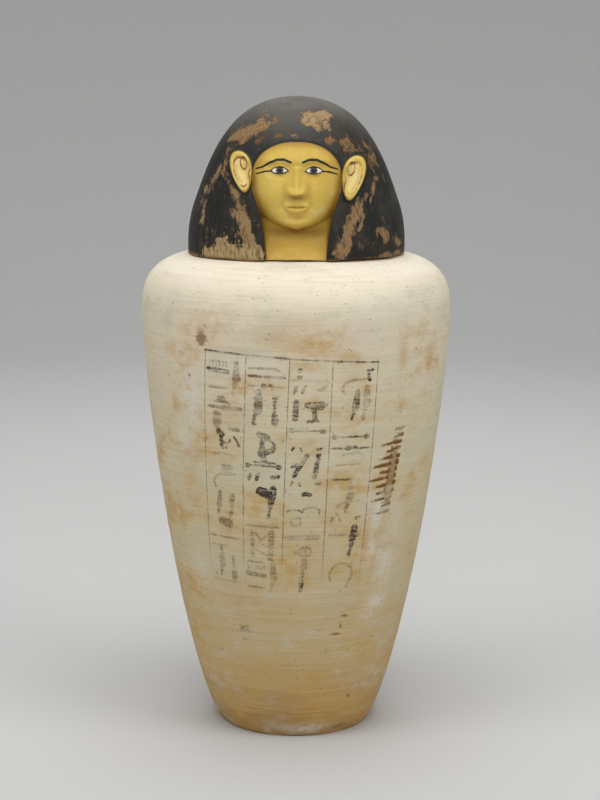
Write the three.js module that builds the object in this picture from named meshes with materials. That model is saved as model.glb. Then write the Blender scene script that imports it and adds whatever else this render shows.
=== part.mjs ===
// A painted pottery canopic jar: a hollow shouldered jar and its lift-off lid, a human head in a plain
// wig. Millimetres, +Z up. The origin is at the centre of the foot and the face looks along -Y.
import * as THREE from "three";

// The jar
const JAR_TOP = 304.3; // height of the flat shoulder around the mouth
const WIDEST_AT = 266.4; // height of the widest turn, where the wall meets the shoulder
const WIDEST_RADIUS = 97.8;
const FOOT_RADIUS = 47.5;
const WALL_RISE = 1.367; // powers that set how the wall swells from the foot to the widest turn
const WALL_SWELL = 0.708;
const SHOULDER_CENTRE = 35.4; // radius from which the superelliptic shoulder springs
const SHOULDER_POWER = 3;
const MOUTH_RADIUS = 46;
const JAR_WALL = 8;
const FLOOR_THICKNESS = 13;
const FLOOR_FILLET = 6; // where the floor turns up into the wall, inside
const FOOT_BEVEL = 1.6; // the small worn bevel around the foot
const WALL_HEIGHTS = [6, 16, 34, 60, 92, 130, 172, 214, 246]; // of the rings of facets
const SHOULDER_ANGLES = [0, 6, 17, 30, 45, 60, 72];
const MOUTH_ANGLES = [90, 126, 180, 234, 270];
const JAR_SIDES = 40;

// The lid, with heights taken from its seat, the plane of its lower edge
const SEAT = 302.5;
const LID_HEIGHT = 97.5;
const PROFILE_HEIGHTS = [LID_HEIGHT, LID_HEIGHT, 40.4, 0]; // of the control points of each profile
const SIDE_PROFILE = { points: [0, 53.2, 59.5, 76], skirt: 68.8 }; // the flank, and where it turns upright
const FRONT_PROFILE = { points: [0, 66, 55, 70], skirt: 65 };
const BACK_PROFILE = { points: [0, 60, 64, 72], skirt: 66 };
const SKIRT_BLEND = 4; // how softly each flank turns into the upright skirt
const SECTION_POWER = 2.1; // of the wig's superelliptic sections
const SEAT_CLEARANCE = 0.3; // between the lid and the jar that it rests on
const SEAT_SHARE = 0.9; // the flat seat's size as a share of the lower edge
const RING_OUTER = 42; // the locating ring under the lid, which drops into the mouth
const RING_INNER = 34;
const RING_DEPTH = 10;
const HOLLOW_HEIGHTS = [84, 84, 40, -RING_DEPTH]; // control points of the lid's hollow
const HOLLOW_SIDE = [0, 38, 50, RING_INNER];
const HOLLOW_FRONT = [0, 26, 26, RING_INNER];
const HOLLOW_BACK = [0, 36, 48, RING_INNER];
const FACE_COLUMNS = 26; // facets across the wig's opening
const LOCK_COLUMNS = 9; // and across the locks on each side of it
const BACK_COLUMNS = 22;
const FRONT_SHARE = 0.86; // how much of the lid's width the finer front columns cover
const CROWN_ROWS = 9; // from the top down to the hairline
const FRONT_ROWS = 30; // from the hairline down to the lower edge
const HOLLOW_ROWS = 8;

// The wig's opening, and the face and ears in it
const HAIRLINE = 71.6;
const TEMPLE = 50; // where the arch of the hairline springs from the wig's front locks
const TEMPLE_HALF_WIDTH = 27;
const LOBE = 43; // height of the ear lobes, below which the front locks close in on the neck
const NECK_HALF_WIDTH = 18.2;
const ARCH_POWER = 2.2;
const EDGE_WIDTH = 1; // how far the steep edge of the opening spreads across
const NECK_DEPTH = 50; // in front of the axis, under the chin
const NECK_SPREAD = 14; // how much further forward it stands at the lid's lower edge
const NECK_SPREAD_TOP = 18;
const NECK_ROUNDNESS = 55; // radius of its front
const FACE_DEPTH = 56.6; // of the egg of the head at mid height
const FACE_HALF_WIDTH = 30;
const FACE_BOW = 1.8; // how far the line of the face falls back 30 mm above or below its middle
const FOREHEAD_SLOPE = 3.2; // how far the forehead leans back at the hairline
const FACE_EDGE_TOP = 44; // depth of the face's sides, at the temples and at the chin
const FACE_EDGE_BOTTOM = 40;
const FACE_POWER = 2.2; // of the face's superelliptic sections
const THIRD = 20; // the face is drawn in equal thirds: brow to nose, nose to chin
const CHIN = 19.5;
const NOSE_BASE = CHIN + THIRD;
const BROW = NOSE_BASE + THIRD;
const EYE_LINE = CHIN + 1.75 * THIRD;
const MOUTH_LINE = CHIN + THIRD * 0.66;
const EYE_WIDTH = 10.4; // also the space between the eyes and the width of the nose
const NOSE_TOP = BROW - 1.5;
const NOSE_RISE = 7.6; // of the nose's tip
const EYEBALL_RISE = 1.7;
const SOCKET_DEPTH = 2.6;
const EARS = [
  { side: -1, across: 33.2, height: 53.6, halfWidth: 6.4, halfHeight: 12.0, lean: 0.16 },
  { side: 1, across: 34.0, height: 50.2, halfWidth: 6.8, halfHeight: 13.0, lean: 0.18 },
];

const clamp = THREE.MathUtils.clamp;
const smoothstep = THREE.MathUtils.smoothstep;
const lerp = THREE.MathUtils.lerp;
const radians = THREE.MathUtils.degToRad;

// A bell of height 1 at zero that has fallen to 0.37 at the given reach.
const bell = (distance, reach) => Math.exp(-((distance / reach) ** 2));

// The larger of two depths, rounded over where they meet within the given blend.
function roundedMax(a, b, blend) {
  const h = clamp(0.5 + (a - b) / (2 * blend), 0, 1);
  return lerp(b, a, h) + blend * h * (1 - h);
}

// The smaller of two reaches, rounded in the same way.
const roundedMin = (a, b, blend) => -roundedMax(-a, -b, blend);

const bezier = ([a, b, c, d], t) =>
  (1 - t) ** 3 * a + 3 * (1 - t) ** 2 * t * b + 3 * (1 - t) * t ** 2 * c + t ** 3 * d;

// ---- The jar: one turned profile, up the outside, over the rounded mouth and down the inside ----

const wallRadius = (z) =>
  FOOT_RADIUS +
  (WIDEST_RADIUS - FOOT_RADIUS) * (1 - (1 - z / WIDEST_AT) ** WALL_RISE) ** WALL_SWELL;

// The shoulder at an angle above the horizontal through the widest turn, as a superellipse.
function shoulderPoint(angle) {
  const power = 2 / SHOULDER_POWER;
  const reach = WIDEST_RADIUS - SHOULDER_CENTRE;
  const rise = JAR_TOP - WIDEST_AT;
  return new THREE.Vector2(
    SHOULDER_CENTRE + reach * Math.cos(angle) ** power,
    WIDEST_AT + rise * Math.sin(angle) ** power,
  );
}

// The outer skin from just above the foot to the edge of the rounded mouth.
function outerSkin() {
  const points = [];
  for (const z of WALL_HEIGHTS) {
    points.push(new THREE.Vector2(wallRadius(z), z));
  }
  for (const degrees of SHOULDER_ANGLES) {
    points.push(shoulderPoint(radians(degrees)));
  }
  return points;
}

// The skin moved inwards by the wall's thickness, square to the curve at each of its points.
function innerSkin(skin) {
  return skin.map((point, i) => {
    const before = skin[Math.max(i - 1, 0)];
    const after = skin[Math.min(i + 1, skin.length - 1)];
    const along = after.clone().sub(before).normalize();
    return new THREE.Vector2(point.x - along.y * JAR_WALL, point.y + along.x * JAR_WALL);
  });
}

// Half a turn of the mouth's rounded edge, from the shoulder's top round to the inside.
function mouthEdge() {
  const half = JAR_WALL / 2;
  const centre = new THREE.Vector2(MOUTH_RADIUS + half, JAR_TOP - half);
  return MOUTH_ANGLES.map((degrees) => {
    const a = radians(degrees);
    return new THREE.Vector2(centre.x + half * Math.cos(a), centre.y + half * Math.sin(a));
  });
}

function jarGeometry() {
  const skin = outerSkin();
  const lining = innerSkin(skin)
    .reverse()
    .filter((point) => point.y > FLOOR_THICKNESS + FLOOR_FILLET);
  const floorEdge = lining[lining.length - 1].x - FLOOR_FILLET;
  const bevelRadius = wallRadius(FOOT_BEVEL);
  const profile = [
    new THREE.Vector2(0, 0),
    new THREE.Vector2((FOOT_RADIUS + bevelRadius) / 2, 0),
    new THREE.Vector2(bevelRadius, FOOT_BEVEL),
    ...skin,
    ...mouthEdge(),
    ...lining,
    new THREE.Vector2(floorEdge, FLOOR_THICKNESS),
    new THREE.Vector2(0, FLOOR_THICKNESS),
  ];
  return new THREE.LatheGeometry(profile, JAR_SIDES).rotateX(Math.PI / 2);
}

// ---- The lid's front: every depth below is measured forwards, along -Y ----

// Half the width of the wig's opening at a height below the temples.
const lockHalfWidth = (h) =>
  lerp(NECK_HALF_WIDTH, TEMPLE_HALF_WIDTH, clamp(h / LOBE, 0, 1) ** 2);

// How far a point lies outside the wig's opening: negative on the face and neck.
function outsideOpening(x, h) {
  if (h < TEMPLE) return Math.abs(x) - lockHalfWidth(h);
  const across = Math.abs(x) / TEMPLE_HALF_WIDTH;
  const up = (h - TEMPLE) / (HAIRLINE - TEMPLE);
  return TEMPLE_HALF_WIDTH * ((across ** ARCH_POWER + up ** ARCH_POWER) ** (1 / ARCH_POWER) - 1);
}

// The neck, from under the chin down to where it spreads to the lid's lower edge.
function neckDepth(x, h) {
  const spread = 1 - smoothstep(h, 0, NECK_SPREAD_TOP);
  return NECK_DEPTH + NECK_SPREAD * spread ** 1.3 - (x * x) / (2 * NECK_ROUNDNESS);
}

// The egg of the head without its features: the line of the brow, cheeks and chin.
function headDepth(x, h) {
  const below = clamp((EYE_LINE - h) / (EYE_LINE - CHIN), 0, 1);
  const halfWidth = FACE_HALF_WIDTH * (1 - below ** 3) ** 0.5 + 0.01;
  const bow = FACE_BOW * ((h - 30) / 30) ** 2;
  const slope = FOREHEAD_SLOPE * smoothstep(h, BROW, HAIRLINE);
  const edge = lerp(FACE_EDGE_TOP, FACE_EDGE_BOTTOM, below);
  const across = Math.min(Math.abs(x) / halfWidth, 1);
  return edge + (FACE_DEPTH - bow - slope - edge) * (1 - across ** FACE_POWER) ** (1 / FACE_POWER);
}

// The nose: a ridge that grows from the bridge to the tip and is cut off square at its base.
function noseRelief(x, h) {
  const down = clamp((NOSE_TOP - h) / (NOSE_TOP - NOSE_BASE), 0, 1);
  const cut = smoothstep(h, NOSE_BASE - 0.6, NOSE_BASE + 1.8) * smoothstep(down, 0, 0.12);
  const width = lerp(EYE_WIDTH / 4, EYE_WIDTH / 2, down ** 2);
  return NOSE_RISE * lerp(0.16, 1, down ** 1.3) * cut * bell(x, width);
}

// The eye sockets with the balls of the eyes in them.
function eyeRelief(x, h) {
  const side = Math.abs(x) - EYE_WIDTH;
  const socket = bell(side, 6.8) * bell(h - EYE_LINE, 4.2);
  const ball = bell(side, 4.2) * bell(h - EYE_LINE, 2.4);
  return EYEBALL_RISE * ball - SOCKET_DEPTH * socket;
}

// The two lips with the groove between them, and the chin below.
function mouthRelief(x, h) {
  const width = bell(x, 6.6);
  const upper = 1.5 * bell(h - MOUTH_LINE - 1.9, 1.7);
  const lower = 1.7 * bell(h - MOUTH_LINE + 2.2, 1.9);
  const fold = 1.2 * bell(h - MOUTH_LINE + 6, 2.2);
  const chin = 1.4 * bell(x, 7) * bell(h - CHIN - 4, 3.6);
  return width * (upper + lower - fold) + chin;
}

function faceDepth(x, h) {
  const head = headDepth(x, h) + noseRelief(x, h) + eyeRelief(x, h) + mouthRelief(x, h);
  return h < CHIN ? neckDepth(x, h) : roundedMax(head, neckDepth(x, h), 4);
}

// One ear on the wig: a flap whose outer rim stands proudest, around a hollow, narrowing to the lobe.
function earDepth(ear, x, h, wig) {
  const dh = h - ear.height;
  const dx = ear.side * x - ear.across - ear.lean * dh;
  const halfWidth = ear.halfWidth * (1 + 0.025 * dh);
  const reach = Math.hypot(dx / halfWidth, dh / ear.halfHeight);
  const proud = 3.4 + 2 * clamp(dx / halfWidth, -1, 1);
  const hollow = 2.2 * bell(reach, 0.55);
  return wig + (proud - hollow) * (1 - smoothstep(reach, 0.88, 1.12));
}

// The front of the lid where the plain wig would stand at the given depth.
function frontDepth(x, h, wig) {
  const step = smoothstep(outsideOpening(x, h), -EDGE_WIDTH / 2, EDGE_WIDTH / 2);
  const hair = Math.max(wig, ...EARS.map((ear) => earDepth(ear, x, h, wig)));
  return lerp(faceDepth(x, h), hair, step);
}

// ---- The lid as rings of points from the crown down, under the edge and up the hollow ----

// The share of the way along the profiles at which they come down to a height.
function shareAt(h) {
  let [above, below] = [0, 1];
  for (let i = 0; i < 40; i++) {
    const middle = (above + below) / 2;
    if (bezier(PROFILE_HEIGHTS, middle) > h) above = middle;
    else below = middle;
  }
  return below;
}

// How far out a profile stands at a share of the way along it.
const reachAt = (profile, share) =>
  roundedMin(bezier(profile.points, share), profile.skirt, SKIRT_BLEND);

// How far out the opening's edge lies at the temples, which the columns above them keep to.
const TEMPLE_SHARE = TEMPLE_HALF_WIDTH / reachAt(SIDE_PROFILE, shareAt(TEMPLE));

// The columns that cross the front, as shares of the lid's half width from left to right. Their lines
// run down both sides of the wig's opening, which gives the front locks clean edges.
function frontShares(h, side) {
  const edge = h < TEMPLE ? lockHalfWidth(h) / side : TEMPLE_SHARE;
  const rim = EDGE_WIDTH / 2 / side;
  const shares = [];
  for (let i = 0; i < LOCK_COLUMNS; i++) {
    shares.push(lerp(-FRONT_SHARE, -edge - rim, i / LOCK_COLUMNS));
  }
  shares.push(-edge - rim);
  for (let i = 0; i < FACE_COLUMNS; i++) {
    shares.push(lerp(rim - edge, edge - rim, i / FACE_COLUMNS));
  }
  shares.push(edge - rim);
  for (let i = 0; i < LOCK_COLUMNS; i++) {
    shares.push(lerp(edge + rim, FRONT_SHARE, i / LOCK_COLUMNS));
  }
  return shares;
}

// The azimuths of a ring's columns around its superellipse, where 0 is straight ahead along -Y.
function columnAngles(h, side) {
  const angleAt = (share) => Math.sign(share) * Math.asin(Math.abs(share) ** (SECTION_POWER / 2));
  const end = angleAt(FRONT_SHARE);
  const angles = frontShares(h, side).map(angleAt);
  for (let i = 0; i < BACK_COLUMNS; i++) {
    angles.push(lerp(end, 2 * Math.PI - end, i / BACK_COLUMNS));
  }
  return angles;
}

// A point of a superelliptic section at an azimuth.
function sectionPoint(angle, side, front, back, power) {
  const across = Math.sin(angle);
  const ahead = Math.cos(angle);
  const depth = ahead > 0 ? front : back;
  return [
    side * Math.sign(across) * Math.abs(across) ** (2 / power),
    -depth * Math.sign(ahead) * Math.abs(ahead) ** (2 / power),
  ];
}

// The lower edge isn't level: it all but touches the jar at the left and lifts towards the right.
const LIFT_FADES = 16; // height by which the rings are level again
const edgeLift = (angle) =>
  1.4 + 0.3 * Math.cos(angle) + 0.7 * Math.sin(angle) - 0.6 * Math.sin(angle) ** 2;

// A ring of the outside at a share of the way down the profiles, lifted where it nears the lower edge.
function outerRing(share) {
  const side = reachAt(SIDE_PROFILE, share);
  const front = reachAt(FRONT_PROFILE, share);
  const back = reachAt(BACK_PROFILE, share);
  const level = bezier(PROFILE_HEIGHTS, share);
  return columnAngles(level, side).map((angle) => {
    const [x, y] = sectionPoint(angle, side, front, back, SECTION_POWER);
    const h = level + edgeLift(angle) * (1 - smoothstep(level, 0, LIFT_FADES));
    const facesForward = Math.cos(angle) > 0 && Math.abs(x) < FRONT_SHARE * side;
    return [x, facesForward ? -frontDepth(x, h, -y) : y, SEAT + h];
  });
}

const circleRing = (angles, radius, z) =>
  angles.map((angle) => [radius * Math.sin(angle), -radius * Math.cos(angle), z]);

function hollowRing(angles, t) {
  const side = bezier(HOLLOW_SIDE, t);
  const front = bezier(HOLLOW_FRONT, t);
  const back = bezier(HOLLOW_BACK, t);
  return angles.map((angle) => {
    const [x, y] = sectionPoint(angle, side, front, back, 2);
    return [x, y, SEAT + bezier(HOLLOW_HEIGHTS, t)];
  });
}

// Skins rings that have the same number of points, closed by a pole at each end. Each four-cornered
// cell is split along its shorter diagonal.
function skinnedGeometry(poleA, rings, poleB) {
  const count = rings[0].length;
  const points = [poleA, ...rings.flat(), poleB];
  const last = points.length - 1;
  const at = (ring, column) => 1 + ring * count + (column % count);
  const span = (a, b) => Math.hypot(...points[a].map((value, axis) => value - points[b][axis]));
  const faces = [];
  for (let c = 0; c < count; c++) {
    faces.push(0, at(0, c), at(0, c + 1));
    for (let r = 0; r + 1 < rings.length; r++) {
      const [a, b, d, e] = [at(r, c), at(r + 1, c), at(r + 1, c + 1), at(r, c + 1)];
      if (span(a, d) < span(b, e)) faces.push(a, b, d, a, d, e);
      else faces.push(a, b, e, b, d, e);
    }
    faces.push(last, at(rings.length - 1, c + 1), at(rings.length - 1, c));
  }
  const geometry = new THREE.BufferGeometry();
  geometry.setAttribute("position", new THREE.Float32BufferAttribute(points.flat(), 3));
  geometry.setIndex(faces);
  geometry.computeVertexNormals();
  return geometry;
}

function lidGeometry() {
  const seatHeight = JAR_TOP + SEAT_CLEARANCE;
  const hairlineShare = shareAt(HAIRLINE);
  const rings = [];
  for (let i = 1; i <= CROWN_ROWS; i++) {
    rings.push(outerRing((hairlineShare * i) / CROWN_ROWS));
  }
  for (let i = 1; i <= FRONT_ROWS; i++) {
    rings.push(outerRing(shareAt(lerp(HAIRLINE, 0, i / FRONT_ROWS))));
  }
  const lowerEdge = rings[rings.length - 1];
  const angles = columnAngles(0, SIDE_PROFILE.skirt);
  rings.push(lowerEdge.map(([x, y]) => [x * SEAT_SHARE, y * SEAT_SHARE, seatHeight]));
  rings.push(circleRing(angles, RING_OUTER, seatHeight));
  rings.push(circleRing(angles, RING_OUTER, SEAT - RING_DEPTH));
  for (let i = HOLLOW_ROWS; i > 0; i--) {
    rings.push(hollowRing(angles, i / HOLLOW_ROWS));
  }
  return skinnedGeometry([0, 0, SEAT + LID_HEIGHT], rings, [0, 0, SEAT + HOLLOW_HEIGHTS[0]]);
}

// ---- The scene graph ----

function piece(name, geometry, color, roughness) {
  const material = new THREE.MeshStandardMaterial({ color, roughness, metalness: 0 });
  const mesh = new THREE.Mesh(geometry, material);
  mesh.name = name;
  return mesh;
}

const canopicJar = new THREE.Group();
canopicJar.add(piece("jar", jarGeometry(), 0xcdb891, 0.85));
canopicJar.add(piece("lid", lidGeometry(), 0x2c302f, 0.7));

export default canopicJar;
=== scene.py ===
"""A painted pottery canopic jar and its lid, a human head in a plain wig: the looks, over its solids.

Everything is worked out in millimetres, with +Z up and the face looking along -Y, and is turned to metres
when a mesh is made. Heights on the lid are measured from its seat, and depths forwards along -Y.
"""
import math

import bpy
import numpy as np
from mathutils import Euler, Matrix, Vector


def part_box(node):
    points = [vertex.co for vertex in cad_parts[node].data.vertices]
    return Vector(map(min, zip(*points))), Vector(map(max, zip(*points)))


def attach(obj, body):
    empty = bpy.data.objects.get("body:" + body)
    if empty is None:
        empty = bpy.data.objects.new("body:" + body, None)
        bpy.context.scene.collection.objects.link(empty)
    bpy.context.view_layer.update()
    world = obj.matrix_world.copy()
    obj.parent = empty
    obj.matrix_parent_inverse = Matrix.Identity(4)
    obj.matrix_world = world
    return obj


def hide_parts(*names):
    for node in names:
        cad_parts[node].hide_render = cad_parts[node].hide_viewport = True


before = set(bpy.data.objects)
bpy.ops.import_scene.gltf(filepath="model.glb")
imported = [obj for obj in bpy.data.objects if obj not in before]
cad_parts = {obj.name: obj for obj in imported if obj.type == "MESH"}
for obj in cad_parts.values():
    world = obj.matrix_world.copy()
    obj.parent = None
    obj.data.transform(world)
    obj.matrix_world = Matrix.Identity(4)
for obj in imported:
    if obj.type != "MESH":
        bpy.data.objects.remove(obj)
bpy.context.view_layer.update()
MM = 0.001
SHARP_ANGLE = math.radians(50)  # edges that turn more than this stay crisp
POLE_STRIP = 0.01  # the share of the map's height that is kept for each pole

# The jar, from the box of its solid
JAR_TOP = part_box("jar")[1].z / MM
WIDEST_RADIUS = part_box("jar")[1].x / MM
WIDEST_AT = JAR_TOP - 37.9  # where the wall meets the shoulder
FOOT_RADIUS = 47.5
WALL_RISE = 1.367  # powers that set how the wall swells from the foot to the widest turn
WALL_SWELL = 0.708
SHOULDER_CENTRE = 35.4  # radius from which the superelliptic shoulder springs
SHOULDER_POWER = 3
MOUTH_RADIUS = 46
JAR_WALL = 8
FLOOR_THICKNESS = 13
SKIN_INSET = 0.45  # keeps the uneven skin inside the true turned form
UNEVENNESS = 0.35  # how far the hand-finished wall wanders from that form
RIDGE_HEIGHT = 0.1  # of the rings that turning left in the wall
FLOOR_CURVE = 6  # how far the curve between floor and wall climbs
MOUTH_TURN = (262, 98)  # degrees that the rounded mouth turns through, from inside to outside
FOOT_CHIPS = [  # degrees from the front, height, half width, half height, depth as a share
    (35.5, 3, 4.6, 2.6, 1), (-12, 1.5, 5, 2, 0.7), (150, 2, 7, 3, 0.9),
]
CHIP_DEPTH = 1.6
FOOT_WEAR = 0.7  # how far the foot's edge is rubbed back
INSIDE_FADE = (14, 4)  # below the mouth, where the unevenness of the skin dies out

# Rows and columns of the jar's skin
FOOT_ROWS = 42
PANEL_ROWS = 242
SHOULDER_ROWS = 24
MOUTH_ROWS = 9
PANEL_COLUMNS = 186
JAR_BACK_COLUMNS = 88

# The painted panel on the jar's front. Its lines lean a little, and each is (degrees from the front at
# a height of 250, degrees more for each millimetre up)
PANEL_LINES = [(-33.9, 0.046), (-17.6, 0.038), (-1.9, 0.027), (13.3, 0.008), (30.7, 0.003)]
PANEL_TOP = [(-33, 252.5), (-9, 250.5), (31, 246)]  # degrees and heights along its upper line
COLUMN_WIDTH = 26
INK_RELIEF = 0.12  # how far the worn strokes lie below the slip
FINE_DEGREES = (-46, 47)  # the stretch of the jar whose columns are fine enough for the painting
FINE_HEIGHTS = (68, 262)
STAIN_BARS = 13
STAIN_TOP = 203
STAIN_SPACING = 4.35
STAIN_RIGHT = 125.5  # where the bars end, across the panel
FAR = 9.0  # a distance that is past any stroke's reach

# The lid
LID_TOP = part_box("lid")[1].z / MM
LID_HEIGHT = 97.5
SEAT = LID_TOP - LID_HEIGHT
PROFILE_HEIGHTS = [LID_HEIGHT, LID_HEIGHT, 40.4, 0]  # of the control points of each profile
SIDE_PROFILE = ([0, 53.2, 59.5, 76], 68.8)  # reach of each control point, and of the upright skirt
FRONT_PROFILE = ([0, 66, 55, 70], 65)
BACK_PROFILE = ([0, 60, 64, 72], 66)
SKIRT_BLEND = 4
SECTION_POWER = 2.1
SEAT_HEIGHT = JAR_TOP + 0.3
RING_OUTER = 42
RING_INNER = 34
RING_DEPTH = 10
HOLLOW_HEIGHTS = [84, 84, 40, -RING_DEPTH]
HOLLOW_SIDE = [0, 38, 50, RING_INNER]
HOLLOW_FRONT = [0, 26, 26, RING_INNER]
HOLLOW_BACK = [0, 36, 48, RING_INNER]
FRONT_SHARE = 0.86  # the share of the half width whose columns follow the ears and the opening
MEAN_REACH = 62  # of the wig, to turn a depth into a share of it
LIFT_FADES = 16
PAINT_THICKNESS = 0.22  # how far the clay lies below the wig's paint
HAIR_UNEVENNESS = 0.45
HAIR_INSET = 0.3
OFF = 40  # added to a painted line's distance where it isn't to show

# Rows and columns of the lid's skin
FACE_TOP = 74
SKIRT_TOP = 18
CROWN_ROWS = 26
FACE_ROWS = 140
SKIRT_ROWS = 26
HOLLOW_ROWS = 16
LOCK_COLUMNS = 26
EAR_COLUMNS = 38
RIM_COLUMNS = 6
FACE_COLUMNS = 128
LID_BACK_COLUMNS = 98

# The wig's opening, and the face and ears in it. The face is drawn on thirds and eye widths
HAIRLINE = 71.6
TEMPLE = 50
TEMPLE_HALF_WIDTH = 27
LOBE = 43
NECK_HALF_WIDTH = 18.2
ARCH_POWER = 2.2
NECK_DEPTH = 50
NECK_SPREAD = 14
NECK_SPREAD_TOP = 18
NECK_ROUNDNESS = 55
FACE_DEPTH = 56.6
FACE_HALF_WIDTH = 30
THIRD = 20
CHIN = 19.5
NOSE_BASE = CHIN + THIRD
BROW = NOSE_BASE + THIRD
EYE_LINE = CHIN + 1.75 * THIRD
MOUTH_LINE = CHIN + THIRD * 0.66
EYE_WIDTH = 10.4
NOSE_TOP = BROW - 1.5
BROW_STROKE = (  # points across and up, and the brush's half thickness at each
    [(3.6, 59.6), (7.5, 61.2), (12, 61.2), (16.5, 59.2), (20.5, 56.8), (24.6, 55.6)],
    [0.65, 0.8, 0.8, 0.7, 0.6, 0.45],
)
EYE_TAIL = ([(15.2, 54.4), (19, 54.1), (24.4, 52.6)], [0.45, 0.55, 0.45])
EAR_FRONT = ([(-0.8, 0.12), (-0.62, -0.1), (-0.78, -0.34), (-0.6, -0.84), (-0.2, -0.9)], [0, 0, 0, 0, 0])
EARS = [  # which side, the middle across and up, half measures, and how far it leans out as it climbs
    dict(side=-1, across=33.2, height=53.6, half_width=6.4, half_height=12.0, lean=0.16),
    dict(side=1, across=34.0, height=50.2, half_width=6.8, half_height=13.0, lean=0.18),
]


# ---- Arithmetic on whole arrays ----

def smoothstep(value, low, high):
    """0 below low, 1 above high, and 3q^2 - 2q^3 of the way q between them."""
    part = np.clip((value - low) / (high - low), 0, 1)
    return part * part * (3 - 2 * part)


def bell(distance, reach):
    """A bell of height 1 at zero that has fallen to 0.37 at the given reach: exp(-(distance / reach)^2)."""
    return np.exp(-((distance / reach) ** 2))


def mix(a, b, share):
    """a where share is 0, b where it is 1, and in proportion between."""
    return a + (b - a) * share


def rounded_max(a, b, blend):
    """The larger of a and b, rounded over where they come within blend of each other."""
    share = np.clip(0.5 + (a - b) / (2 * blend), 0, 1)
    return mix(b, a, share) + blend * share * (1 - share)


def bezier(control, t):
    """A cubic Bezier curve through four control values at t."""
    a, b, c, d = control
    return (1 - t) ** 3 * a + 3 * (1 - t) ** 2 * t * b + 3 * (1 - t) * t ** 2 * c + t ** 3 * d


def value_noise(points, size, seed):
    """Noise from -1 to 1: each corner of a lattice of the given size has a fixed value of its own, and a
    point takes the eight around it, weighted by the smoothed distances to them."""
    cell = np.floor(points / size).astype(np.int64)
    part = points / size - cell
    part = part * part * (3 - 2 * part)
    total = np.zeros(points.shape[:-1])
    for corner in np.ndindex(2, 2, 2):
        key = ((cell + corner) * (73856093, 19349663, 83492791)).sum(-1) + seed * 7919
        key = (key ^ (key >> 13)) * 1274126177
        key = (key ^ (key >> 16)) & 0xFFFF
        weight = np.prod(np.where(np.array(corner, bool), part, 1 - part), axis=-1)
        total += (key / 32767.5 - 1) * weight
    return total


def fractal(points, size, octaves, seed):
    """Noise summed over octaves, each half the size and half the strength of the one before."""
    return sum(value_noise(points, size / 2 ** i, seed + i) / 2 ** i for i in range(octaves))


def capsule(x, z, x0, z0, x1, z1, r0, r1):
    """Distance outside a brush stroke: a segment from (x0, z0) to (x1, z1) that is r0 thick at its start
    and r1 at its end, with round ends. It is negative inside."""
    along = ((x - x0) * (x1 - x0) + (z - z0) * (z1 - z0)) / max((x1 - x0) ** 2 + (z1 - z0) ** 2, 1e-6)
    t = np.clip(along, 0, 1)
    return np.hypot(x - mix(x0, x1, t), z - mix(z0, z1, t)) - mix(r0, r1, t)


def chain(x, z, points, radii):
    """The nearest of the strokes that join a row of points."""
    ends = zip(points, points[1:], radii, radii[1:])
    return np.min([capsule(x, z, *p, *q, r0, r1) for p, q, r0, r1 in ends], axis=0)


# ---- Meshes ----

def arc_marks(steps):
    """Places from 0 to 1 along a row of steps, spaced as the steps' mean lengths are."""
    total = np.concatenate([[0], np.cumsum(steps)])
    return total / total[-1]


def closed_skin(name, rings, first, last, values):
    """A closed mesh from rings[row, column] of points, each row a loop, with a pole at each end. Rows
    that go down and columns that go counterclockwise from above make faces that point outwards. values
    are the numbers that the materials read, one array over the grid for each name."""
    rows, columns, _ = rings.shape
    index = 1 + np.arange(rows * columns).reshape(rows, columns)
    right = np.roll(index, -1, axis=1)
    quads = np.stack([index[:-1], index[1:], right[1:], right[:-1]], axis=-1).reshape(-1, 4)
    end = rows * columns + 1
    top = np.stack([np.zeros(columns, int), index[0], right[0]], axis=-1)
    bottom = np.stack([np.full(columns, end), right[-1], index[-1]], axis=-1)
    points = np.concatenate([[first], rings.reshape(-1, 3), [last]]) * MM
    mesh = bpy.data.meshes.new(name)
    mesh.from_pydata(points.tolist(), [], quads.tolist() + top.tolist() + bottom.tolist())
    u = arc_marks(np.linalg.norm(np.roll(rings, -1, axis=1) - rings, axis=2).mean(axis=0))
    v = arc_marks(np.linalg.norm(np.diff(rings, axis=0), axis=2).mean(axis=1))
    v = mix(POLE_STRIP, 1 - POLE_STRIP, v)
    left_u, right_u = u[:-1], u[1:]
    grid_u = np.stack([left_u, left_u, right_u, right_u], axis=-1)[None].repeat(rows - 1, axis=0)
    grid_v = np.stack([v[:-1], v[1:], v[1:], v[:-1]], axis=-1)[:, None].repeat(columns, axis=1)
    middle = (left_u + right_u) / 2
    none = 0 * middle
    top_uv = np.stack([middle, none, left_u, none + v[0], right_u, none + v[0]], axis=-1)
    low_uv = np.stack([middle, none + 1, right_u, none + v[-1], left_u, none + v[-1]], axis=-1)
    coordinates = [np.stack([grid_u, grid_v], axis=-1).ravel(), top_uv.ravel(), low_uv.ravel()]
    mesh.uv_layers.new(name="OFBake").data.foreach_set("uv", np.concatenate(coordinates))
    for key, grid in values.items():
        flat = np.concatenate([[grid[0].mean()], grid.ravel(), [grid[-1].mean()]])
        mesh.attributes.new(key, "FLOAT", "POINT").data.foreach_set("value", flat.astype(np.float32))
    mesh.shade_smooth()
    mesh.set_sharp_from_angle(angle=SHARP_ANGLE)
    piece = bpy.data.objects.new(name, mesh)
    bpy.context.scene.collection.objects.link(piece)
    return piece


# ---- The jar ----

def wall_radius(z):
    """The wall's radius at a height: it swells from the foot to the widest turn as
    (1 - (1 - z / widest)^rise)^swell."""
    rest = np.clip(1 - z / WIDEST_AT, 0, 1)
    return FOOT_RADIUS + (WIDEST_RADIUS - FOOT_RADIUS) * (1 - rest ** WALL_RISE) ** WALL_SWELL


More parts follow.
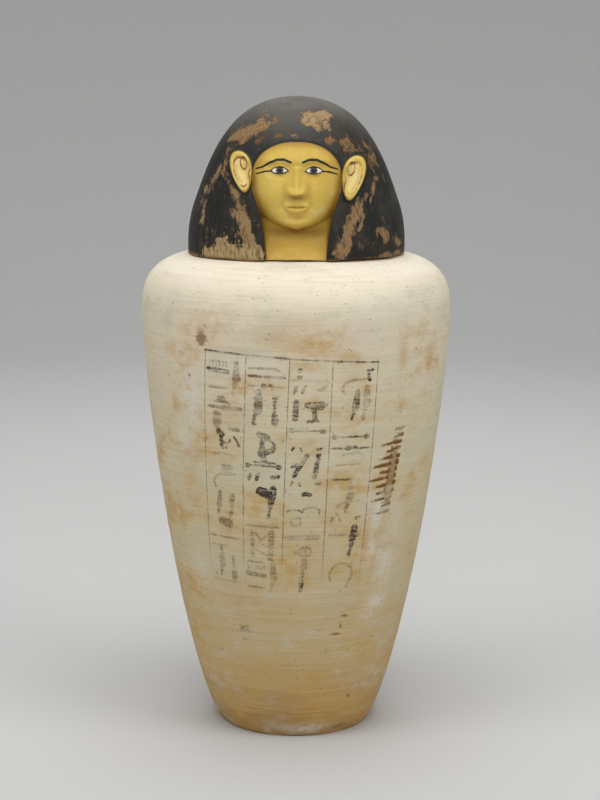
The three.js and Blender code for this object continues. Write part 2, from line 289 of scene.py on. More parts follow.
def jar_skin(wall_heights, shoulder_degrees):
    """The outer profile from the foot up: the wall, then the superelliptic shoulder, whose radius and
    height go with the cosine and sine of an angle to the power 2/3."""
    a = np.radians(shoulder_degrees)
    power = 2 / SHOULDER_POWER
    radius = SHOULDER_CENTRE + (WIDEST_RADIUS - SHOULDER_CENTRE) * np.cos(a) ** power
    height = WIDEST_AT + (JAR_TOP - WIDEST_AT) * np.sin(a) ** power
    wall = np.stack([wall_radius(wall_heights), wall_heights], axis=-1)
    return np.concatenate([wall, np.stack([radius, height], axis=-1)])


def jar_lining():
    """The inside from the floor up: the outer profile moved inwards, square to itself, by the wall's
    thickness, with a small curve between floor and wall."""
    skin = jar_skin(np.linspace(10, 264, 16), np.linspace(4, 80, 10))
    along = np.gradient(skin, axis=0)
    along /= np.linalg.norm(along, axis=1, keepdims=True)
    lining = skin + JAR_WALL * np.stack([-along[:, 1], along[:, 0]], axis=-1)
    lining = lining[lining[:, 1] > FLOOR_THICKNESS + FLOOR_CURVE]
    corner = lining[0, 0]
    floor = [[12, FLOOR_THICKNESS], [corner - 8, FLOOR_THICKNESS], [corner - 3, FLOOR_THICKNESS + 1.2]]
    return np.concatenate([floor, lining])


def jar_profile():
    """Radius, height and how much of the skin's slip each row has, from the floor inside, up the lining,
    over the rounded mouth and down the outside to the foot."""
    fine_low, fine_high = FINE_HEIGHTS
    heights = np.concatenate([
        np.linspace(2.5, fine_low, FOOT_ROWS, endpoint=False),
        np.linspace(fine_low, fine_high, PANEL_ROWS),
    ])
    lining = jar_lining()
    half = JAR_WALL / 2
    a = np.radians(np.linspace(*MOUTH_TURN, MOUTH_ROWS))
    mouth = np.stack([MOUTH_RADIUS + half + half * np.cos(a), JAR_TOP - half + half * np.sin(a)], axis=-1)
    skin = jar_skin(heights, np.linspace(2, 83, SHOULDER_ROWS))[::-1]
    foot = [[wall_radius(1.2), 1.2], [wall_radius(0.8) - 0.4, 0.35], [FOOT_RADIUS - 0.2, 0], [24, 0]]
    rows = np.concatenate([lining, mouth, skin, foot])
    bare, whole = np.zeros(len(lining)), np.ones(len(skin))
    slip = np.concatenate([bare, np.linspace(0, 1, len(mouth)), whole, [1, 0.6, 0, 0]])
    return rows, slip


def jar_columns():
    """Degrees around the jar from the front, counterclockwise: half a degree apart across the panel and
    about three degrees apart round the back."""
    low, high = FINE_DEGREES
    front = np.linspace(low, high, PANEL_COLUMNS, endpoint=False)
    back = np.linspace(high, low + 360, JAR_BACK_COLUMNS, endpoint=False)
    return np.concatenate([front, back])


def panel_place(degrees, z):
    """Where a point lies on the painted panel: how many columns across it is, counting from 0 at the
    left line to 4 at the right, and how far it is below the upper line."""
    lines = [start + lean * (z - 250) for start, lean in PANEL_LINES]
    across = (degrees - lines[0]) / (lines[1] - lines[0])
    for i in range(1, 4):
        beyond = i + (degrees - lines[i]) / (lines[i + 1] - lines[i])
        across = np.where(degrees > lines[i], beyond, across)
    below = np.interp(degrees, *np.transpose(PANEL_TOP)) - z
    return across, below


def bead_row(x0, z0, x1, z1, radius, count):
    """Round dabs of the brush along a line."""
    places = [(mix(x0, x1, i / (count - 1)), mix(z0, z1, i / (count - 1))) for i in range(count)]
    return [(x, z, x + 0.6, z + 0.3, radius, radius * 0.8) for x, z in places]


def bow(x, z, half_width, rise, thickness, turn=(0, math.pi), steps=7):
    """An arc drawn with short strokes: x and z go with the cosine and sine of an angle."""
    a = np.linspace(*turn, steps)
    xs, zs = x + half_width * np.cos(a), z + rise * np.sin(a)
    return [(*p, *q, thickness, thickness) for p, q in zip(zip(xs, zs), zip(xs[1:], zs[1:]))]


# The marks that fill the columns, each a few strokes (x0, z0, x1, z1, thickness at both ends) around its
# middle, where x runs from 0 to 26 across the column. None is a letter or a sign.
MARKS = {
    "bar": [(2, 0.3, 23, -0.4, 0.7, 0.6)],
    "short_bar": [(3, 0.2, 14.5, -0.2, 0.75, 0.5)],
    "bars": [(2, 2.6, 18, 2.4, 0.6, 0.7), (18, 2.4, 20.5, 1, 0.6, 0.4),
             (2, -2, 23.5, -2.8, 0.9, 0.7)],
    "knobbed_bar": [(2, 0.4, 24, -0.6, 0.55, 0.5), (11, 0.4, 12, 0.4, 1.6, 1.4),
                    (15, 0.5, 15.6, 0.5, 1.2, 1)],
    "tied_bar": [(2.6, 0, 3, -0.6, 1.5, 1.2), (3, 0, 21, -0.4, 0.5, 0.55),
                 (21.6, -0.6, 22, -0.6, 1.6, 1.7)],
    "thick_bar": [(3, 0.5, 13, 0, 1.0, 1.3), (13, 0, 23.5, -0.3, 1.9, 1.3)],
    "wide_bar": [(2, 0, 22.5, 0.2, 1.7, 1.5)],
    "rake": [(2.6, 0, 14.6, -1.6, 1.6, 1.5)] + [(3 + 2.2 * i, 5, 3.2 + 2.2 * i, 2.9 - 0.25 * i, 0.4, 0.3)
                                                for i in range(6)],
    "stem_right": [(20, 10, 20.6, 0, 1.4, 2.6), (20.6, 0, 18.6, -8, 1.8, 0.9),
                   (18.6, -9, 18.8, -9.6, 1.3, 1.3)],
    "stem_middle": [(14.5, 9, 14, -2, 1.1, 2.3), (14, -2, 12, -9, 1.4, 0.8)],
    "dark_stem": [(19, 8.5, 18.4, 3, 2.2, 2.6), (18.4, 3, 17.6, -3, 2.4, 1.6),
                  (17.4, -5, 16.6, -9, 0.9, 1.2)],
    "stems": [(8.6, 10, 8.2, -1, 1.9, 2.8), (7.6, -1, 5.2, -9.5, 1.4, 0.9), (5.2, -9.6, 7, -9.9, 0.8, 0.6),
              (19.5, 7, 18.2, 7.4, 1.2, 0.6), (18, 7, 18.4, -1, 1.3, 0.8), (18.4, -3, 18.8, -8, 1.5, 2.4)],
    "twin_stems": [(10, 7, 9.4, -1, 1.0, 2.0), (9, -2, 8.2, -7.4, 1.2, 0.8), (18.8, 5, 18, -3, 1.8, 1.5),
                   (18, -4, 17.2, -8, 1.2, 1.2)],
    "low_stems": [(9.5, 9, 9.8, -1, 1.0, 2.4), (9.4, -2, 8.4, -8.5, 1.0, 1.1), (4, -8.4, 5, -8.8, 0.9, 0.7),
                  (18.4, 4, 18.6, -3, 0.9, 1.4), (18.8, -4, 19, -9, 2.0, 2.2)],
    "dashes": [(4.4, 1.6, 3.4, -1.8, 1.1, 1.0), (9.6, 1.8, 8.4, -1.8, 1.2, 1.0),
               (18, 0, 22, 0.6, 1.1, 1.2)],
    "short_dashes": [(4.6, 1.2, 3.6, -1, 0.9, 0.5), (8.6, 1, 9.4, -1.2, 0.5, 0.7),
                     (19.5, 0, 22, 0.6, 1.2, 0.5)],
    "dome": [(6.5, -1.4, 16, -1.8, 0.7, 0.6), (9.6, 0.4, 12, 0.6, 1.7, 1.8),
             (13, -0.6, 17, -3.2, 0.7, 0.6)],
    "block": [(8, 2.8, 8.3, -2.6, 2.6, 2.6), (9.6, 2.4, 9.8, -3, 2.0, 1.8)],
    "lozenge": [(17, 0.2, 21.8, -0.2, 1.3, 1.5)],
    "disc": [(13.6, 0, 16.6, 0, 2.9, 2.7)],
    "pebble": [(11, 0.8, 16, -1, 2.7, 3.0)],
    "lamp": [(11.4, -0.2, 16, -0.3, 1.3, 1.2), (12.6, 0.7, 14.6, 0.7, 1.0, 0.9)],
    "sprig": [(9.5, 5, 12, 3, 1.9, 1.7), (11, 3, 11.6, -4, 1.1, 1.3), (11.6, -1, 15.5, -2.4, 0.5, 0.6),
              (15.5, -2.4, 17.4, 0, 0.5, 0.8), (11.6, -5, 15, -4.6, 0.6, 0.9),
              (19.6, 2.5, 23, -3, 0.5, 0.8)],
    "knot": [(9, 8, 14, 6, 1.6, 2.2), (14, 6, 19, 2.4, 1.0, 0.5), (12, 6, 11, -4, 1.7, 1.4),
             (11, -4, 17.8, -2, 2.2, 1.6), (17.8, -2, 19, 1.6, 1.6, 1.0), (11.6, -5, 13, -8.6, 1.6, 2.0),
             (7, -9.4, 19.5, -10, 0.6, 0.7)],
    "cluster": [(11.5, 3, 20, 2.4, 1.6, 2.6), (20, 2.4, 23.5, 3, 1.6, 0.8), (16, 0.6, 16.6, -6, 1.4, 1.5),
                (12.6, -7.4, 18.6, -6.8, 1.0, 0.9), (5, 5, 4.8, -5, 1.7, 1.9)],
    "ladder": [(4, 0, 6.5, 1.4, 0.9, 0.8)] + bead_row(12.6, 6.6, 5.6, -5.6, 1.5, 7)
              + bead_row(19.8, 6.8, 18, -6.4, 1.6, 6),
    "ripple": bow(6.6, 0, 4.6, 1.6, 0.5, (math.pi, 0)) + bow(17, 0, 5.6, 3.4, 0.55, (math.pi, -0.5)),
    "arch": bow(14, -1, 7.5, 3.4, 0.5) + [(5, -5, 19, -5, 0.6, 0.4)],
    "hook": bow(12.5, 0, 6.6, 5, 0.8, (math.pi * 1.2, math.pi * 0.4)) + [(14, 4.8, 21, 5.6, 0.6, 0.5)],
    "frame_marks": [(6, 8, 6.2, -7.6, 1.4, 1.2), (18.6, 7.6, 18.2, -8.4, 2.2, 1.9), (8, 7, 12, 3, 0.9, 0.7),
                    (12, 3, 17, 7, 0.6, 0.8), (8, -3, 17, -7.6, 0.4, 0.4)],
    "square": [(5, 2.4, 10.6, 2.4, 0.8, 0.8), (5, -2.4, 10.6, -2.4, 0.8, 0.7), (5, 2, 5, -2, 0.8, 0.8),
               (10.6, 2, 10.6, -2, 0.8, 0.8)],
    "curl": [(20.5, 3, 23, 3.6, 0.8, 0.9), (20.5, 3, 21, -1.6, 1.2, 1.0), (21, -2.4, 22, -3, 0.9, 0.6)],
    "smudge": [(6, 0, 14.5, 0.4, 1.4, 1.7), (16, 0.3, 20, -0.6, 0.7, 0.5)],
    "beads": bead_row(6, 2.2, 6.4, -2, 1.5, 2),
    "loop": bow(12.5, 0, 7.8, 7.4, 0.75, (math.pi * 1.15, -0.25), 9) + [(19.4, -3, 17, -8, 1.0, 1.3)],
    "ring": bow(14.5, 0, 3.6, 3.4, 0.7, (0, 2 * math.pi), 11) + [(8.6, -0.6, 10, -0.4, 1.3, 1.1)],
    "drips": bead_row(13.4, 2.4, 12, -3.6, 1.1, 4),
}

# What stands where in the four columns, from the top down: height of the mark, its name, how much ink
# is left (0 to 1), and how brown it has turned (0 to 1)
COLUMNS = [
    [(241.5, "rake", 0.75, 0.2), (236, "stem_right", 0.5, 0.55), (230, "short_bar", 0.45, 0.7),
     (223, "dome", 0.55, 0.75), (218, "thick_bar", 0.5, 0.5), (210.5, "block", 0.45, 0.9),
     (205, "lozenge", 0.55, 0.75), (198, "sprig", 0.85, 0.25), (188.5, "smudge", 0.25, 0.2),
     (180, "disc", 0.28, 0.1), (171, "hook", 0.3, 0.1), (157.5, "twin_stems", 0.5, 0.15),
     (145.6, "pebble", 0.5, 0.35), (135.6, "bar", 0.4, 0.45), (130, "short_bar", 0.35, 0.35),
     (119, "low_stems", 0.42, 0.4), (107, "bar", 0.18, 0.6)],
    [(240.8, "bars", 0.6, 0.45), (232.6, "knobbed_bar", 0.62, 0.5), (219, "stems", 0.6, 0.35),
     (195, "knot", 0.62, 0.1), (183.6, "tied_bar", 0.78, 0.15), (176.4, "dashes", 0.85, 0.3),
     (166.6, "pebble", 0.98, 0.05), (160.5, "dark_stem", 0.98, 0.05), (149.6, "lozenge", 0.3, 0.4),
     (144.8, "bar", 0.5, 0.7), (133, "frame_marks", 0.5, 0.65), (121.6, "short_bar", 0.4, 0.8),
     (114, "rake", 0.55, 0.6), (111.4, "stem_right", 0.42, 0.5), (104.8, "short_bar", 0.5, 0.55)],
    [(240.4, "beads", 0.6, 0.35), (236.6, "bar", 0.2, 0.9), (230.8, "dashes", 0.5, 0.35),
     (218.6, "cluster", 0.6, 0.25), (206, "tied_bar", 0.5, 0.35), (194.2, "short_dashes", 0.75, 0.1),
     (183.4, "ladder", 0.72, 0.08), (172.4, "short_dashes", 0.5, 0.1), (166, "lamp", 0.95, 0.1),
     (154.4, "ripple", 0.5, 0.25), (148.4, "square", 0.3, 0.15), (138, "wide_bar", 0.3, 0.25),
     (128.8, "ring", 0.38, 0.2), (121, "stem_middle", 0.3, 0.3), (112, "drips", 0.5, 0.3),
     (106.6, "drips", 0.75, 0.1)],
    [(238.2, "curl", 0.85, 0.1), (231, "hook", 0.38, 0.85), (221.6, "stem_right", 0.4, 0.75),
     (221, "stem_middle", 0.68, 0.2), (201.4, "tied_bar", 0.6, 0.2), (194, "knobbed_bar", 0.62, 0.15),
     (188.6, "arch", 0.3, 0.2), (174.6, "short_bar", 0.55, 0.15), (163, "stem_middle", 0.42, 0.1),
     (155, "hook", 0.22, 0.2), (149, "short_dashes", 0.55, 0.4), (138.4, "lozenge", 0.3, 0.3),
     (139, "short_bar", 0.42, 0.3), (134.6, "dark_stem", 0.92, 0.1), (113, "loop", 0.32, 0.45)],
]


def panel_strokes():
    """Every stroke of the four columns in the panel's own millimetres, with its ink and its brownness."""
    strokes = []
    for column, marks in enumerate(COLUMNS):
        for height, name, ink, brown in marks:
            for x0, z0, x1, z1, r0, r1 in MARKS[name]:
                left = column * COLUMN_WIDTH
                place = (left + x0, height + z0, left + x1, height + z1, r0, r1)
                strokes.append((place, ink, brown))
    return strokes


def ladder_stain():
    """The stain right of the panel, where a brown liquid dried between the wiping ridges: short level
    bars, longer and browner towards its middle, with a paler run down through their right ends."""
    strokes = []
    for i in range(STAIN_BARS):
        z = STAIN_TOP - STAIN_SPACING * i
        body = math.sin(math.pi * (i + 1) / (STAIN_BARS + 1))
        right = STAIN_RIGHT - 0.42 * i
        left = right - 4 - 11 * body + 3.4 * math.sin(i * 2.4)
        thickness = 0.75 + 0.9 * body * (0.6 + 0.4 * math.sin(i * 1.7))
        strokes.append(((left, z - 0.8, right, z + 0.5, 0.35, thickness), 0.4 + 0.6 * body, 1))
        strokes.append(((right - 6, z + 1.6, right, z + 1.2, 0.3, 0.9 * body), 0.75 * body, 1))
    strokes.append(((121, 188, 119, 160, 2.2, 2.8), 0.45, 1))
    return strokes


def nearest_stroke(x, z, strokes):
    """Distance outside the nearest stroke, with that stroke's ink and brownness."""
    edge = np.full(x.shape, FAR)
    ink = np.zeros(x.shape)
    brown = np.zeros(x.shape)
    for place, strength, warmth in strokes:
        distance = capsule(x, z, *place)
        nearer = distance < edge
        edge = np.where(nearer, distance, edge)
        ink = np.where(nearer, strength, ink)
        brown = np.where(nearer, warmth, brown)
    return edge, ink, brown


def blots(degrees, z, places):
    """The strongest of some soft round marks, each (degrees, height, half width, half height, strength)."""
    arc = np.radians(1) * wall_radius(z)
    marks = [s * bell(np.hypot((degrees - d) * arc / a, (z - h) / b), 1) for d, h, a, b, s in places]
    return np.max(marks, axis=0)


BROWN_BLOTS = [  # spots and splashes of brown
    (-35.4, 259, 4.6, 4.6, 1.0), (-25, 76, 7, 4, 0.55), (-41, 59, 6, 4, 0.45), (-13, 72, 4, 3, 0.3),
    (24.6, 85, 4.4, 1.3, 0.75), (21, 73, 5, 1.2, 0.7), (23, 79, 2, 3.6, 0.5), (-43, 39, 6, 1.2, 0.6),
    (35.5, 27, 2.2, 1.4, 0.8), (-42, 235, 1.3, 2.6, 0.6), (-31, 20, 7, 3, 0.3), (160, 90, 9, 5, 0.4),
    (-120, 214, 5, 9, 0.35), (118, 44, 8, 3, 0.4), (205, 252, 5, 4, 0.5),
]
OCHRE_BLOTS = [  # soft stains in the slip
    (3, 262, 30, 10, 0.75), (14, 256, 12, 8, 0.4), (-44, 157, 12, 9, 0.55), (42, 251, 3.4, 14, 0.8),
    (-8, 232, 8, 7, 0.45), (-24, 214, 9, 8, 0.5), (22, 238, 8, 12, 0.4), (36, 120, 3.5, 17, 0.75),
    (-18, 138, 22, 9, 0.5), (2, 128, 18, 14, 0.5), (-30, 150, 8, 14, 0.45), (11, 20, 6, 4, 0.8),
    (-22, 96, 22, 12, 0.35), (30, 92, 14, 7, 0.35), (14, 149, 6, 6, 0.5), (-34, 262, 22, 10, 0.4),
    (32, 136, 2.6, 20, 0.7), (41, 140, 5, 9, 0.6), (29, 110, 5, 8, 0.7), (-46, 176, 7, 16, 0.6),
    (-36, 200, 5, 8, 0.5), (-22, 232, 3, 6, 0.7), (150, 170, 18, 26, 0.4), (-140, 120, 22, 12, 0.45),
    (100, 232, 12, 20, 0.35), (190, 60, 24, 9, 0.4),
]
PALE_BLOTS = [  # where the slip is rubbed whiter or has a bluish bloom
    (-42, 222, 9, 17, 0.85), (43, 91, 8, 5, 0.95), (38, 84, 7, 4, 0.6), (8, 6, 17, 3.4, 0.8),
    (31, 162, 2.2, 22, 0.45),
    (-14, 246, 14, 7, 0.35), (40, 128, 9, 17, 0.5), (47, 142, 8, 12, 0.4), (24, 262, 14, 8, 0.35),
    (-5, 176, 14, 12, 0.25), (-170, 214, 12, 22, 0.5), (130, 100, 12, 8, 0.5),
    (36, 150, 5, 14, 0.75), (44, 116, 7, 16, 0.7), (35, 128, 4, 10, 0.8), (-47, 196, 6, 20, 0.6),
    (-48, 110, 8, 14, 0.45), (12, 190, 9, 16, 0.3),
]


def jar():
    """The jar as one closed skin: its profile turned round the axis, made a little uneven, with the
    strokes of the panel worn in and a chip at the foot."""
    rows, slip = jar_profile()
    degrees = jar_columns()
    radius, z = (rows[:, i, None] + 0 * degrees for i in (0, 1))
    slip = slip[:, None] + 0 * degrees
    degrees = degrees + 0 * radius
    turn = np.radians(degrees)
    round_points = np.stack([radius * np.sin(turn), -radius * np.cos(turn), z], axis=-1)
    signed = (degrees + 180) % 360 - 180
    across, below = panel_place(signed, z)
    x = across * COLUMN_WIDTH
    edge, ink, brown = nearest_stroke(x, z, panel_strokes())
    stain_edge, stain, _ = nearest_stroke(x, z, ladder_stain())
    outside = smoothstep(slip, 0.5, 1) * smoothstep(z, 1, 6)
    wander = UNEVENNESS * fractal(round_points, 60, 3, 3) / 1.5
    ridges = RIDGE_HEIGHT * fractal(round_points / [9, 9, 1], 5, 2, 11)
    worn = INK_RELIEF * ink * (1 - smoothstep(edge, -0.4, 0.4))
    rubbed = smoothstep(value_noise(round_points, 9, 21), 0, 0.8) * (1 - smoothstep(z, 2, 8))
    loss = FOOT_WEAR * rubbed + CHIP_DEPTH * blots(signed, z, FOOT_CHIPS)
    inwards = outside * (SKIN_INSET - wander - ridges + worn) + slip * smoothstep(z, 0.3, 1.5) * loss
    fade_low, fade_high = (JAR_TOP - depth for depth in INSIDE_FADE)
    radius = radius - inwards * (1 - smoothstep(z, fade_low, fade_high))
    points = np.stack([radius * np.sin(turn), -radius * np.cos(turn), z], axis=-1)
    values = dict(
        ink_edge=edge, ink=ink, ink_brown=brown, across=across, below=below,
        line_mm=np.radians(15.7) * wall_radius(z), stain_edge=stain_edge, stain=stain, slip=slip,
        brown=blots(signed, z, BROWN_BLOTS), ochre=blots(signed, z, OCHRE_BLOTS),
        pale=blots(signed, z, PALE_BLOTS), chip=np.clip(loss, 0, 1),
    )
    return closed_skin("jar_body", points, [0, 0, FLOOR_THICKNESS], [0, 0, 0], values)


# ---- The lid ----

PROFILE_SHARES = np.linspace(0, 1, 2001)


def share_at(h):
    """The share of the way along the profiles at which they come down to a height."""
    return np.interp(-h, -bezier(PROFILE_HEIGHTS, PROFILE_SHARES), PROFILE_SHARES)


def reach_at(profile, share):
    """How far out a profile stands: a Bezier curve, capped softly where the skirt turns upright."""
    points, skirt = profile
    return -rounded_max(-bezier(points, share), -skirt, SKIRT_BLEND)


def lock_half_width(h):
    """Half the width of the wig's opening below the temples, closing in on the neck."""
    return mix(NECK_HALF_WIDTH, TEMPLE_HALF_WIDTH, np.clip(h / LOBE, 0, 1) ** 2)


def outside_opening(x, h):
    """How far a point lies outside the wig's opening: upright edges below the temples and a
    superelliptic arch above them. It is negative on the face and neck."""
    below = np.abs(x) - lock_half_width(h)
    across = np.abs(x) / TEMPLE_HALF_WIDTH
    up = np.clip(h - TEMPLE, 0, None) / (HAIRLINE - TEMPLE)
    above = TEMPLE_HALF_WIDTH * ((across ** ARCH_POWER + up ** ARCH_POWER) ** (1 / ARCH_POWER) - 1)
    return np.where(h < TEMPLE, below, above)


def neck_depth(x, h):
    """The round neck, spreading forwards to the lid's lower edge."""
    spread = 1 - smoothstep(h, 0, NECK_SPREAD_TOP)
    return NECK_DEPTH + NECK_SPREAD * spread ** 1.3 - x * x / (2 * NECK_ROUNDNESS)


def head_depth(x, h):
    """The egg of the head: a line that bows gently from forehead to chin, with superelliptic sections
    that narrow towards the chin."""
    below = np.clip((EYE_LINE - h) / (EYE_LINE - CHIN), 0, 1)
    half_width = FACE_HALF_WIDTH * (1 - below ** 3) ** 0.5 + 0.01
    line = FACE_DEPTH - 1.8 * ((h - 30) / 30) ** 2 - 3.2 * smoothstep(h, BROW, HAIRLINE)
    edge = mix(44, 40, below)
    across = np.clip(np.abs(x) / half_width, 0, 1)
    return edge + (line - edge) * (1 - across ** 2.2) ** (1 / 2.2)


def nose_relief(x, h):
    """A ridge that grows from the bridge to a round tip, with a wing on each side and a square base."""
    down = np.clip((NOSE_TOP - h) / (NOSE_TOP - NOSE_BASE), 0, 1)
    cut = smoothstep(h, NOSE_BASE - 0.7, NOSE_BASE + 1.6) * smoothstep(down, 0, 0.12)
    width = mix(EYE_WIDTH / 4, EYE_WIDTH / 2.5, down ** 2)
    ridge = 7.2 * mix(0.16, 1, down ** 1.3) * cut * bell(x, width)
    wings = 2.1 * bell(np.abs(x) - 3.9, 1.7) * bell(h - NOSE_BASE - 2.4, 2.2) * cut
    nostrils = 1.1 * bell(np.abs(x) - 2.1, 1.0) * bell(h - NOSE_BASE - 0.2, 0.8)
    return ridge + wings - nostrils


def eye_place(x, h):
    """Distance across from the middle of the nearer eye, outwards, and up from it."""
    return np.abs(x) - EYE_WIDTH, h - EYE_LINE


def eye_edge(x, h, grown=0.0):
    """How far a point lies outside the almond of the eye, between an upper and a lower arc."""
    side, up = eye_place(x, h)
    half = EYE_WIDTH / 2 + grown
    span = np.clip(1 - (side / half) ** 2, 0, 1)
    upper, lower = (2.5 + grown) * span ** 0.8, -(1.7 + grown) * span ** 0.9
    return np.maximum(np.maximum(up - upper, lower - up), (np.abs(side) - half) * 0.7)


def eye_relief(x, h):
    """The eye socket, the ball in it and a rounded rim for each lid."""
    side, up = eye_place(x, h)
    socket = bell(side, 6.8) * bell(up - 0.4, 4.4)
    ball = bell(side, 4.4) * bell(up, 2.6)
    lids = bell(eye_edge(x, h) - 0.45, 0.55) * bell(side, 6)
    brow_ridge = bell(side - 1, 8.5) * bell(h - BROW - 0.4, 2.2)
    return 1.9 * ball + 0.55 * lids + 0.7 * brow_ridge - 2.6 * socket


def mouth_relief(x, h):
    """Two full lips that meet in a groove whose ends turn up, the dip above them, the fold below and the
    round chin."""
    line = MOUTH_LINE + 0.012 * x * x
    width = smoothstep(8.6 - np.abs(x), 0, 4)
    bow_dip = 0.5 * bell(x, 1.4)
    upper = (1.5 - bow_dip) * bell(h - line - 1.7 + 0.03 * x * x, 1.5)
    lower = 1.7 * bell(h - line + 2.0 - 0.03 * x * x, 1.8)
    groove = 0.9 * bell(h - line, 0.55)
    corners = 0.7 * bell(np.abs(x) - 8.6, 1.6) * bell(h - line, 2)
    fold = 1.3 * bell(h - MOUTH_LINE + 6.2, 2.0) * bell(x, 6)
    chin = 1.5 * bell(x, 7) * bell(h - CHIN - 4, 3.8)
    philtrum = 0.5 * bell(x, 1.2) * bell(h - mix(MOUTH_LINE, NOSE_BASE, 0.62), 2.2)
    return width * (upper + lower - groove) - corners - fold + chin - philtrum


def cheek_relief(x, h):
    """A soft fullness beside the nose."""
    return 0.8 * bell(np.abs(x) - 14, 6.5) * bell(h - NOSE_BASE - 1, 7)


def face_depth(x, h):
    """The head with its features, rising from the neck with a soft hollow under the chin."""
    features = nose_relief(x, h) + eye_relief(x, h) + mouth_relief(x, h) + cheek_relief(x, h)
    head = head_depth(x, h) + features
    neck = neck_depth(x, h)
    return np.where(h < CHIN, neck, rounded_max(head, neck, 4))


def ear_place(ear, x, h):
    """A point in an ear's own measures: how far out and how far up it is, both 1 at the ear's rim, and
    its distance from the middle in those measures. The ear leans back and narrows to its lobe."""
    up = h - ear["height"]
    out = ear["side"] * x - ear["across"] - ear["lean"] * up
    out = out / (ear["half_width"] * (1 + 0.025 * up))
    up = up / ear["half_height"]
    return out, up, np.hypot(out, up)


def ear_relief(out, up, reach):
    """A flap whose outer rim stands proudest: the rolled rim, the groove inside it, the inner fold, the
    deep shell in front of that, the small flap over the shell and the lobe."""
    stand = 3.6 + 1.9 * np.clip(out, -1, 1)
    open_part = smoothstep(out, -0.75, -0.2) + smoothstep(up, 0.2, 0.6)
    rim = 0.9 * bell(reach - 0.86, 0.13) * np.clip(open_part, 0, 1) * smoothstep(up, -0.75, -0.3)
    groove = 1.0 * bell(reach - 0.66, 0.12) * smoothstep(out, -0.4, 0.2) * smoothstep(up, -0.6, -0.1)
    fold = 0.8 * bell(np.hypot(out + 0.12, (up - 0.02) * 0.95) - 0.42, 0.12) * smoothstep(out, -0.3, 0.1)
    shell = 2.6 * bell(np.hypot((out + 0.3) / 0.42, (up + 0.02) / 0.42), 1)
    flap = 1.3 * bell(np.hypot((out + 0.78) / 0.22, (up + 0.12) / 0.2), 1)
    lobe = 0.7 * bell(np.hypot((out + 0.2) / 0.5, (up + 0.78) / 0.2), 1)
    return stand + rim - groove + fold - shell + flap + lobe


def ear_line(out, up, reach):
    """The red-brown line drawn in the ear, as a distance in the ear's own measures: down inside the rim,
    a curl at the top of the shell, and round the front of the lobe."""
    inside_rim = np.maximum(np.abs(reach - 0.7), np.maximum(-0.35 - out, -0.75 - up))
    curl = np.abs(np.hypot(out + 0.28, (up - 0.42) * 0.9) - 0.27)
    curl = np.maximum(curl, -0.05 - up)
    return np.min([inside_rim, curl, chain(out, up, *EAR_FRONT)], axis=0)


WORN = [  # where the wig's paint is worn through, as strokes in x and height, with how pale the clay is
    ([(-43, 71), (-34, 75.5), (-27, 78.5), (-20, 82), (-12, 83)], [1.5, 4, 4.2, 3, 1.2], 0.45),
    ([(-33, 72.5), (-27, 75)], [3.2, 2.0], 0.35),
    ([(-23, 83), (-18, 87)], [1.8, 2.2], 0.5),
    ([(7, 85), (16, 86)], [4.0, 4.6], 0.75),
    ([(13, 80.5), (19, 80.5)], [2.6, 2.2], 0.6),
    ([(20, 73), (27, 71.5), (34, 67), (43, 61), (46.5, 53)], [1.6, 3.6, 3.4, 2.2, 0.7], 0.25),
    ([(37, 77), (42, 69), (48, 60)], [0.6, 1.3, 0.5], 0.4),
    ([(41, 74), (47, 63), (51, 54)], [0.3, 0.9, 0.4], 0.35),
    ([(-41, 66), (-43.5, 58), (-43.8, 50), (-38, 42)], [1.8, 0.8, 0.8, 1.0], 0.4),
    ([(-39, 43), (-35.5, 37), (-34, 29), (-30, 19), (-26, 9)], [1.2, 2.8, 4.0, 3.8, 2.6], 0.6),
    ([(-41, 33), (-38, 27)], [1.0, 1.6], 0.5),
    ([(-53, 4), (-40, 4), (-24, 3.5)], [4.5, 7.0, 6.5], 0.95),
    ([(-46, 10), (-42, 14)], [2.6, 1.2], 0.9),
    ([(-47, 56), (-52, 46), (-55, 40)], [0.8, 1.0, 0.8], 0.5),
    ([(-55.5, 42), (-57, 32), (-59, 22)], [0.8, 1.4, 1.8], 0.7),
    ([(-64.5, 30), (-66, 18)], [0.7, 0.9], 0.5),
    ([(49, 50), (45, 42), (40, 37)], [0.6, 1.3, 1.6], 0.5),
    ([(39, 37), (35, 30), (32, 20), (28, 7)], [2.0, 4.4, 5.0, 4.6], 0.5),
    ([(40, 27), (38, 20)], [1.6, 2.2], 0.55),
    ([(52, 18), (54, 12)], [3.2, 1.8], 0.5),
    ([(61, 13), (63, 9)], [1.4, 1.8], 0.5),
    ([(45, 1.5), (56, 2.2), (66, 3)], [1.4, 2.2, 1.6], 0.4),
    ([(47.5, 50), (46.5, 43), (44.5, 36)], [0.5, 1.5, 0.5], 0.5),
    ([(-4, 75.5), (0, 75)], [1.2, 1.6], 0.5),
    ([(-25, 71.5), (-17, 75), (-8, 76)], [1.5, 1.2, 0.8], 0.15),
]
WORN_BEHIND = [  # the same on the back
    ([(-38, 60), (-28, 68), (-16, 72)], [2.4, 4.6, 2.2], 0.45),
    ([(10, 88), (24, 80), (34, 72)], [1.8, 3.4, 1.4], 0.5),
    ([(-50, 6), (-34, 4), (-20, 3)], [3.2, 5.0, 2.6], 0.8),
    ([(22, 34), (26, 22), (25, 8)], [1.6, 4.2, 4.4], 0.55),
    ([(44, 44), (50, 28)], [1.0, 2.0], 0.5),
    ([(-12, 46), (-16, 30)], [0.8, 1.8], 0.45),
]


